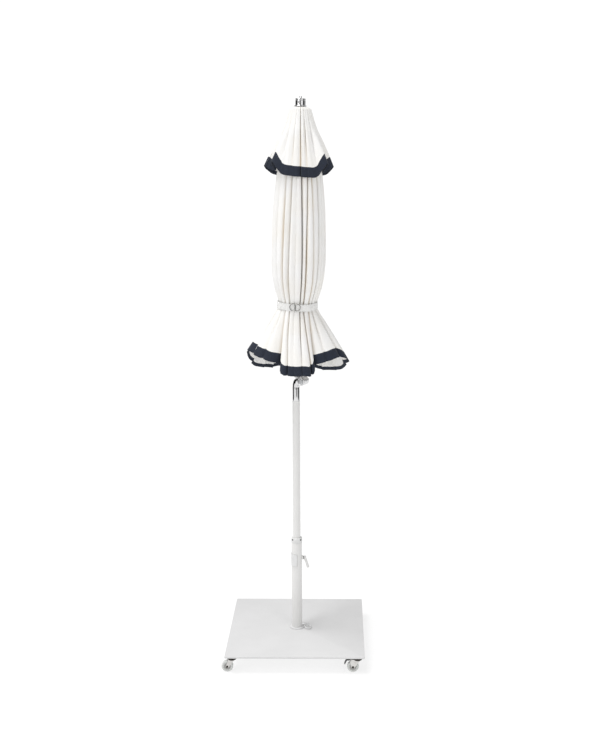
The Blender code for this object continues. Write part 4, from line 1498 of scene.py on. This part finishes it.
@dataclass
class Stem:
    """The stem tube with its collar, screws, blank plate, clamp and lock pin."""

    collar_height: float = 0.024
    screw_headings: tuple[float, float] = (FRONT - 48.0, FRONT + 48.0)
    plate_from: float = 168.0
    plate_to: float = 274.0
    plate_corner: float = 0.004

    def build_tube(self, paint: Material) -> None:
        """Build the tube, with its clamp boss.

        Args:
            paint: Its finish.
        """
        low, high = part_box("stem_tube")
        tube = turned(
            [
                (STEM_RADIUS - STEM_WALL, low.z), (STEM_RADIUS, low.z), (STEM_RADIUS, high.z),
                (STEM_RADIUS - STEM_WALL, high.z)
            ],
            0.0006, 96
        )
        clamp = Vector(joint_record("clamp_turn")["pos_m"])
        boss = turned(
            [(0.0, 0.0215), (0.0098, 0.0215), (0.009, 0.0242), (0.009, 0.0298), (0.0, 0.0298)], 0.0008, 48
        )
        placed(boss, move(0, 0, clamp.z) @ ALONG_X)
        Piece("stem_tube_painted", "base", paint, "pole_paint", ("stem_tube",)).build(join(tube, boss))

    def build_collar(self, plastic: Material, dark: Material) -> None:
        """Build the moulded collar and its two screws.

        Args:
            plastic: The collar's finish.
            dark: The screws' finish.
        """
        low = STEM_TOP - self.collar_height
        bore = POLE_RADIUS + GAP
        lip = STEM_RADIUS + 0.001
        inside = STEM_RADIUS - STEM_WALL - GAP
        outline = [
            (bore, low - 0.025), (inside, low - 0.025), (inside, low), (lip, low), (lip, low + 0.002),
            (lip - 0.0005, low + 0.0026), (lip - 0.0005, low + 0.0034), (lip, low + 0.004),
            (lip, STEM_TOP - 0.004), (lip - 0.003, STEM_TOP), (bore, STEM_TOP)
        ]
        Piece("stem_collar_moulded", "base", plastic, "white_plastic", ("stem_collar",)).build(
            turned(outline, 0.0009, 96)
        )
        height = STEM_TOP - self.collar_height / 3
        for name, angle in zip(("left", "right"), self.screw_headings):
            head = turned(
                [
                    (0.0, lip - 0.004), (0.002, lip - 0.004), (0.002, lip + 0.0002), (0.0036, lip + 0.0002),
                    (0.0034, lip + 0.0016), (0.0019, lip + 0.002), (0.0017, lip + 0.0008),
                    (0.0, lip + 0.0008)
                ],
                0.0004, 24
            )
            Piece(f"collar_screw_{name}_head", "base", dark, "dark_metal", (f"collar_screw_{name}",)).build(
                head, move(0, 0, height) @ turn_to(heading(angle))
            )

    def bent_sheet(self, margin: float, low: float, thickness: float) -> Mesh:
        """A thin sheet bent round the tube, with rounded corners.

        Args:
            margin: How far it stands out past the plate all round.
            low: How far its inside is from the tube.
            thickness: How thick it is.

        Returns:
            The sheet.
        """
        box_low, box_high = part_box("info_plate")
        middle = (box_low.z + box_high.z) / 2
        half = (box_high.z - box_low.z) / 2 + margin
        width = math.radians(self.plate_to - self.plate_from) / 2 * STEM_RADIUS + margin
        corner = self.plate_corner + margin
        mesh = bmesh.new()
        bmesh.ops.create_grid(mesh, x_segments=48, y_segments=32, size=1.0)
        for vert in mesh.verts:
            x, z = vert.co.x * width, vert.co.y * half
            over_x, over_z = abs(x) - (width - corner), abs(z) - (half - corner)
            if over_x > 0 and over_z > 0:
                fit = max(over_x, over_z) / math.hypot(over_x, over_z)
                x = math.copysign(width - corner + over_x * fit, x)
                z = math.copysign(half - corner + over_z * fit, z)
            angle = math.radians((self.plate_from + self.plate_to) / 2) + x / STEM_RADIUS
            radius = STEM_RADIUS + low
            vert.co = (radius * math.cos(angle), radius * math.sin(angle), middle + z)
        for face in mesh.faces:
            face.normal_update()
        if mesh.faces[:][0].normal.dot(mesh.faces[:][0].calc_center_median() * Vector((1, 1, 0))) < 0:
            bmesh.ops.reverse_faces(mesh, faces=mesh.faces)
        bmesh.ops.solidify(mesh, geom=mesh.faces[:], thickness=-thickness)
        bmesh.ops.recalc_face_normals(mesh, faces=mesh.faces)
        return mesh

    def build_plate(self, plastic: Material, edge_shadow: Material) -> None:
        """Build the blank plate bent round the tube, on a thin grey sheet a little larger than it that shows as a
        painted shadow line round its edges.

        Args:
            plastic: The plate's finish.
            edge_shadow: The finish of that sheet.
        """
        Piece("stem_blank_plate", "base", plastic, "label_plastic", ("info_plate",)).build(
            self.bent_sheet(0.0, GAP + 0.0003, 0.0018)
        )
        # A thin grey sheet under the plate, 1.6 mm larger all round, drawn as a painted shadow line at the plate's
        # edges.
        Piece("stem_plate_edge_shadow", "base", edge_shadow, "rim_grey").build(
            self.bent_sheet(0.0016, GAP / 2, 0.0009)
        )

    def build_clamp(self, paint: Material, dark: Material) -> None:
        """Build the clamp handle and the end of its stud.

        Args:
            paint: The handle's finish.
            dark: The stud's finish.
        """
        clamp = Vector(joint_record("clamp_turn")["pos_m"])
        hub_low = STEM_RADIUS + 0.007 + GAP
        hub = turned(
            [
                (0.0, hub_low + 0.002), (0.007, hub_low + 0.002), (0.0085, hub_low + 0.004),
                (0.0085, hub_low + 0.0105), (0.006, hub_low + 0.0118), (0.0, hub_low + 0.0118)
            ],
            0.0012, 48
        )
        placed(hub, ALONG_X)
        start = Vector((hub_low + 0.006, 0.0, -0.001))
        tip = start + Vector((0.015, 0.0, -0.046))
        along = (tip - start).normalized()
        side = Vector((0.0, 1.0, 0.0))
        thick = along.cross(side)
        arm = bmesh.new()
        loops = []
        for share, wide, deep in (
            (0.0, 0.0062, 0.0046), (0.12, 0.0075, 0.006), (0.5, 0.0064, 0.0052), (0.88, 0.0078, 0.0062),
            (0.97, 0.006, 0.005), (1.0, 0.0028, 0.0024)
        ):
            made = bmesh.ops.create_circle(arm, segments=24, radius=1.0)
            centre = start + (tip - start) * share
            for vert in made["verts"]:
                vert.co = centre + side * vert.co.x * wide + thick * vert.co.y * deep
            loops.append([e for e in arm.edges if all(v in made["verts"] for v in e.verts)])
        for first, second in zip(loops, loops[1:]):
            bmesh.ops.bridge_loops(arm, edges=first + second)
        for end in (loops[0], loops[-1]):
            bmesh.ops.edgeloop_fill(arm, edges=end)
        bmesh.ops.recalc_face_normals(arm, faces=arm.faces)
        whole = join(hub, arm)
        Piece("clamp_handle_painted", "clamp", paint, "pole_paint", ("clamp_handle",), Shade.SOFT).build(
            whole, move(0, 0, clamp.z)
        )
        stud = turned(
            [
                (0.0, STEM_RADIUS - 0.004), (0.005, STEM_RADIUS - 0.004), (0.005, hub_low + 0.003),
                (0.0, hub_low + 0.003)
            ],
            0.0004, 32
        )
        nut = turned(
            [(0.0, hub_low), (0.0074, hub_low), (0.0074, hub_low + 0.0021), (0.0, hub_low + 0.0021)],
            0.0005, 6
        )
        Piece("clamp_stud_threaded", "clamp", dark, "dark_metal").build(
            join(stud, nut), move(0, 0, clamp.z) @ ALONG_X
        )

    def build_foot(self, paint: Material, zinc: Material) -> None:
        """Build the flange at the stem's foot, the lock pin and its pull ring.

        Args:
            paint: The flange's finish.
            zinc: The pin's finish.
        """
        low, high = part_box("foot_spigot")
        seat = PLATE_TOP + GAP + 0.004
        spigot = STEM_RADIUS - STEM_WALL - GAP
        outline = [
            (0.0053, low.z), (0.034, low.z), (0.034, seat - 0.0012), (0.0328, seat), (spigot, seat),
            (spigot, high.z), (spigot - 0.003, high.z), (spigot - 0.003, seat), (0.0053, seat)
        ]
        Piece("foot_flange_painted", "base", paint, "plate_paint", ("foot_spigot",)).build(
            turned(outline, 0.0008, 96)
        )
        eye_at = Vector(joint_record("pull_ring_swing")["pos_m"])
        out = Vector((eye_at.x, eye_at.y, 0.0)).normalized()
        across = Vector((-out.y, out.x, 0.0))
        reach = eye_at.xy.length
        shank = turned(
            [
                (0.0, -STEM_RADIUS - 0.002), (0.0022, -STEM_RADIUS - 0.002), (0.003, -STEM_RADIUS - 0.0008),
                (0.003, STEM_RADIUS + 0.001), (0.0046, STEM_RADIUS + 0.0012),
                (0.0046, STEM_RADIUS + 0.0032), (0.003, STEM_RADIUS + 0.0036), (0.003, reach - 0.004),
                (0.0, reach - 0.004)
            ],
            0.0004, 32
        )
        placed(shank, turn_to(out))
        eye = ring(0.0038, 0.0013, 32, 12)
        placed(eye, Matrix.Translation(out * reach) @ turn_to(across))
        Piece("lock_pin_turned", "lock_pin", zinc, "zinc", ("lock_pin",), Shade.SOFT).build(
            join(shank, eye), move(0, 0, eye_at.z)
        )
        radius, wire = 0.017, 0.0015
        drop = eye_at.z - PLATE_TOP - wire - 0.0005
        lean = math.asin(drop / (2 * radius))
        direction = out * math.cos(lean) - Vector((0, 0, math.sin(lean)))
        loop = ring(radius, wire, 64, 12)
        place = Matrix.Translation(eye_at + direction * radius) @ turn_to(direction.cross(across))
        Piece("pull_ring_wire", "pull_ring", zinc, "zinc", ("pull_ring",), Shade.ROUND).build(loop, place)

    def build(self, finishes: dict[str, Material]) -> None:
        """Build everything on the stem.

        Args:
            finishes: The materials by slot name.
        """
        self.build_tube(finishes["pole_paint"])
        self.build_collar(finishes["white_plastic"], finishes["dark_metal"])
        self.build_plate(finishes["label_plastic"], finishes["rim_grey"])
        self.build_clamp(finishes["pole_paint"], finishes["dark_metal"])
        self.build_foot(finishes["plate_paint"], finishes["zinc"])


# ---------------------------------------------------------------- base


@dataclass
class BasePlate:
    """The square steel plate, with its edges eased."""

    half: float = 0.3
    corner: float = 0.004
    ease: float = 0.0012

    def build(self, paint: Material) -> None:
        """Build the plate.

        Args:
            paint: Its finish.
        """
        mesh = block((-self.half, -self.half, PLATE_LOW), (self.half, self.half, PLATE_TOP))
        upright = [e for e in mesh.edges if abs(e.verts[0].co.z - e.verts[1].co.z) > 0.001]
        ease(mesh, upright, self.corner, 6)
        rim = [e for e in mesh.edges if abs(e.verts[0].co.z - e.verts[1].co.z) < 1e-6]
        ease(mesh, rim, self.ease, 3)
        Piece("base_plate_painted", "base", paint, "plate_paint", ("base_plate",)).build(mesh)


@dataclass
class Caster:
    """One swivel caster: mount, ball race, fork, wheel and, on some, a brake pedal."""

    label: str
    trail: float = 0.02
    wheel: float = 0.025
    width: float = 0.01
    leg: float = 0.011
    leg_thick: float = 0.002
    bolt_at: float = 0.0165
    pedal_back: float = 0.01
    pedal_low: float = 0.016
    braked: bool = False

    def joint(self, kind: str) -> dict:
        """Find one of this caster's joints.

        Args:
            kind: The last part of its name.

        Returns:
            Its record.
        """
        return joint_record(f"caster_{self.label}_{kind}")

    def piece(
        self, name: str, body: str, finish: Material, slot: str, node: str = "", shade: Shade = Shade.CRISP
    ) -> Piece:
        """Describe one of this caster's pieces.

        Args:
            name: The last part of its name.
            body: Its body's kind, or base.
            finish: Its material.
            slot: Its material slot.
            node: The last part of the name of the node it stands for, if any.
            shade: How it is smoothed.

        Returns:
            The piece.
        """
        carrier = body if body == "base" else f"{body}_{self.label}"
        nodes = (f"caster_{self.label}_{node}",) if node else ()
        return Piece(f"caster_{self.label}_{name}", carrier, finish, slot, nodes, shade)

    def build_mount(self, dark: Material) -> None:
        """Build the mounting plate, its four bolts and the ball race.

        Args:
            dark: Their finish, near-black as painted shade under the plate.
        """
        at = Vector(self.joint("swivel")["pos_m"])
        plate = block((-0.023, -0.023, -0.003), (0.023, 0.023, -GAP), 0.0009, 2)
        parts = [plate]
        for x in (-self.bolt_at, self.bolt_at):
            for y in (-self.bolt_at, self.bolt_at):
                bolt = turned(
                    [(0.0, -0.0062), (0.004, -0.0062), (0.004, -0.0029), (0.0, -0.0029)], 0.0005, 6
                )
                bmesh.ops.translate(bolt, verts=bolt.verts, vec=(x, y, 0))
                parts.append(bolt)
        race = turned(
            [
                (0.0, -0.0028), (0.0165, -0.0028), (0.02, -0.0058), (0.02, -0.0085), (0.004, -0.0085),
                (0.004, -0.0167), (0.0062, -0.0167), (0.005, -0.0187), (0.0, -0.0187)
            ],
            0.0007, 64
        )
        parts.append(race)
        # Its near-black finish is painted shade under the plate.
        self.piece("race", "base", dark, "chrome", "mount").build(join(*parts), Matrix.Translation(at))

    def place(self) -> Matrix:
        """Find the fork's frame: origin at the swivel, with the wheel trailing along -X.

        Returns:
            The frame.
        """
        at = Vector(self.joint("swivel")["pos_m"])
        axle = Vector(self.joint("roll")["pos_m"])
        turn = 0.0 if axle.x < at.x else math.pi
        return Matrix.Translation(at) @ Matrix.Rotation(turn, 4, "Z")

    def build_fork(self, chrome: Material, dark: Material) -> None:
        """Build the pressed fork: domed crown, two legs and the axle's nuts.

        Args:
            chrome: The legs' finish, kept darker than the bright chrome partly as painted shade under the plate.
            dark: The crown's and the nuts' finish, near-black as painted shade under the plate.
        """
        crown = turned(
            [
                (0.0045, -0.0163), (0.017, -0.0163), (0.0195, -0.014), (0.02, -0.011), (0.02, -0.0089),
                (0.0045, -0.0089)
            ],
            0.001, 64
        )
        parts: list[Mesh] = []
        shade_dark_parts = [crown]
        axle_z = self.wheel - self.joint("swivel")["pos_m"][2]
        for side in (-1, 1):
            points = []
            for y in (side * self.leg, side * (self.leg + self.leg_thick)):
                points += [
                    Vector((0.0125, y, -0.0125)), Vector((0.0105, y, -0.0165)), Vector((-0.015, y, -0.0125))
                ]
                points += circle((-self.trail, y, axle_z), 0.0068, (1, 0, 0), (0, 0, 1), 28)
                if self.braked:
                    points += circle(
                        (-self.trail - self.pedal_back, y, -self.pedal_low), 0.0044, (1, 0, 0), (0, 0, 1),
                        20
                    )
            parts.append(hull(points, 0.0006))
            nut = turned(
                [
                    (0.0, self.leg + self.leg_thick - 0.0005), (0.0052, self.leg + self.leg_thick - 0.0005),
                    (0.0052, self.leg + self.leg_thick + 0.0016),
                    (0.0032, self.leg + self.leg_thick + 0.0018),
                    (0.0028, self.leg + self.leg_thick + 0.0026), (0.0, self.leg + self.leg_thick + 0.0026)
                ],
                0.0004, 24
            )
            placed(nut, move(-self.trail, 0, axle_z) @ turn_to((0, side, 0)))
            shade_dark_parts.append(nut)
        shaft = lathe([(0.0, -self.leg), (0.003, -self.leg), (0.003, self.leg), (0.0, self.leg)], 24)
        placed(shaft, move(-self.trail, 0, axle_z) @ ALONG_Y)
        parts.append(shaft)
        self.piece("yoke", "caster", chrome, "chrome", "fork", Shade.SOFT).build(join(*parts), self.place())
        self.piece("crown", "caster", dark, "dark_metal").build(join(*shade_dark_parts), self.place())

    def build_wheel(self, rim: Material, tyre: Material) -> None:
        """Build the hub, with its webs, and the soft tyre.

        Args:
            rim: The hub's finish.
            tyre: The tyre's finish.
        """
        at = Vector(self.joint("roll")["pos_m"])
        place = Matrix.Translation(at) @ ALONG_Y
        seat = 0.0157
        core = turned(
            [
                (0.0033, -self.width), (0.0062, -self.width), (0.0068, -0.0042), (0.0128, -0.0042),
                (0.0134, -self.width + 0.0008), (seat, -self.width + 0.0006), (seat, self.width - 0.0006),
                (0.0134, self.width - 0.0008), (0.0128, 0.0042), (0.0068, 0.0042), (0.0062, self.width),
                (0.0033, self.width)
            ],
            0.0006, 72
        )
        parts = [core]
        for i in range(6):
            web = block(
                (0.006, -0.0008, -self.width + 0.0022), (0.0132, 0.0008, self.width - 0.0022), 0.0003, 1
            )
            bmesh.ops.rotate(
                web, verts=web.verts, cent=(0, 0, 0), matrix=Matrix.Rotation(math.tau * i / 6, 3, "Z")
            )
            parts.append(web)
        self.piece("rim", "wheel", rim, "rim_grey", "hub").build(join(*parts), place)
        band = turned(
            [
                (0.016, -self.width + 0.0002), (0.0205, -self.width), (0.0212, -self.width + 0.0006),
                (0.0236, -self.width + 0.001), (self.wheel, -self.width * 0.62),
                (self.wheel, self.width * 0.62), (0.0236, self.width - 0.001),
                (0.0212, self.width - 0.0006), (0.0205, self.width), (0.016, self.width - 0.0002)
            ],
            0.0009, 96
        )
        self.piece("tread", "wheel", tyre, "tyre_grey", "tyre", Shade.SOFT).build(band, place)

    def build_pedal(self, dark: Material) -> None:
        """Build the brake pedal, bent down at its toe.

        Args:
            dark: Its finish.
        """
        half = 0.0014
        reach = 0.026
        outline = [
            (0.0, half), (-reach * 0.6, half), (-reach * 0.74, half * 0.1),
            (-reach - half, half - reach * 0.7), (-reach + half, -half - reach * 0.72),
            (-reach * 0.62, -half * 1.2), (-reach * 0.5, -half), (0.0, -half)
        ]
        plate = prism(outline, 0.0092, 0.0004)
        barrel = turned([(0.0, -0.0096), (0.0036, -0.0096), (0.0036, 0.0096), (0.0, 0.0096)], 0.0004, 32)
        placed(barrel, ALONG_Y)
        pin = turned([(0.0, -0.0136), (0.0022, -0.0136), (0.0022, 0.0136), (0.0, 0.0136)], 0.0003, 24)
        placed(pin, ALONG_Y)
        at = move(-self.trail - self.pedal_back, 0.0, -self.pedal_low)
        brake = self.piece("brake", "pedal", dark, "dark_metal", "pedal")
        brake.build(join(plate, barrel, pin), self.place() @ at)

    def build(self, finishes: dict[str, Material]) -> None:
        """Build the caster.

        Args:
            finishes: The materials by slot name.
        """
        self.build_mount(finishes["caster_dark"])
        self.build_fork(finishes["yoke"], finishes["caster_dark"])
        self.build_wheel(finishes["rim_grey"], finishes["tyre_grey"])
        if self.braked:
            self.build_pedal(finishes["dark_metal"])


# ---------------------------------------------------------------- assembly


def make_finishes() -> dict[str, Material]:
    """Make every finish.

    Returns:
        The materials by slot name.
    """
    strap = Strap()
    return {
        "plate_paint": PowderCoat("plate_powder_coat", (0.68, 0.678, 0.68), 0.5).make(),
        "pole_paint": PowderCoat("pole_powder_coat", (0.765, 0.76, 0.75), 0.36).make(),
        "frame_alloy": PowderCoat("frame_powder_coat", (0.8, 0.8, 0.79), 0.45).make(),
        "white_plastic": Moulded("white_moulding", (0.74, 0.74, 0.735), 0.45).make(),
        "label_plastic": Moulded("blank_plate_moulding", (0.76, 0.76, 0.76), 0.35).make(),
        "dark_metal": Plated("black_oxide", (0.07, 0.07, 0.07), 0.38).make(),
        "chrome": Plated("bright_chrome", (0.74, 0.74, 0.745), 0.06).make(),
        "satin": Plated("satin_chrome", (0.55, 0.56, 0.57), 0.3).make(),
        # Near-black plating: painted shade for the plated mount, race and crown in the shade under the plate.
        "caster_dark": Plated("caster_race_painted_shade", (0.055, 0.05, 0.045), 0.3).make(),
        # A plating darker and duller than the chrome: the forks' own plating, partly painted shade under the
        # plate.
        "yoke": Plated("caster_yoke_shaded_plating", (0.66, 0.65, 0.63), 0.2).make(),
        "ring": Plated("ring_nickel", (0.46, 0.45, 0.43), 0.22).make(),
        "zinc": Plated("bright_zinc", (0.9, 0.9, 0.9), 0.45).make(),
        "rim_grey": Moulded("rim_moulding", (0.6, 0.6, 0.585), 0.4, 0.2).make(),
        "tyre_grey": Moulded("soft_tyre", (0.62, 0.63, 0.615), 0.3, 0.5).make(),
        "strap_cloth": Webbing("strap_webbing", (0.93, 0.925, 0.91), strap.height, strap.half_width).make()
    }


def dress_nodes(finishes: dict[str, Material]) -> None:
    """Give every CAD node that stays the finish its record names.

    Args:
        finishes: The materials by slot name.
    """
    slots = {s["node"]: s["material_slot"] for s in FRAME["record"]["subparts"]}
    for name, node in FRAME["nodes"].items():
        finish = finishes.get(slots[name])
        if finish is None:
            continue
        for place in node.material_slots:
            place.material = finish


def main() -> None:
    """Build the studio, then the umbrella from the cloth down to the wheels."""
    logging.basicConfig(level=logging.INFO, format="%(message)s")
    Studio().build()
    finishes = make_finishes()
    dress_nodes(finishes)
    outside = WovenCloth("canopy_cloth").make()
    # The lining's tan colour is the painted warm shade inside its folds.
    inside = WovenCloth("canopy_lining", band_width=0.016, tan=(0.8, 0.72, 0.6)).make()
    edge = WovenCloth("hem_edge", band_width=9.0).make()
    main_canopy().build(outside, inside, edge)
    vent_canopy().build(outside, inside, edge)
    Strap().build(finishes["strap_cloth"], finishes["ring"])
    Finial().build(finishes["chrome"])
    TiltJoint().build(finishes["chrome"], finishes["satin"])
    Stem().build(finishes)
    BasePlate().build(finishes["plate_paint"])
    for label, braked in (
        ("front_left", False), ("front_right", True), ("rear_left", True), ("rear_right", False)
    ):
        Caster(label, braked=braked).build(finishes)


if __name__ == "__main__":
    main()
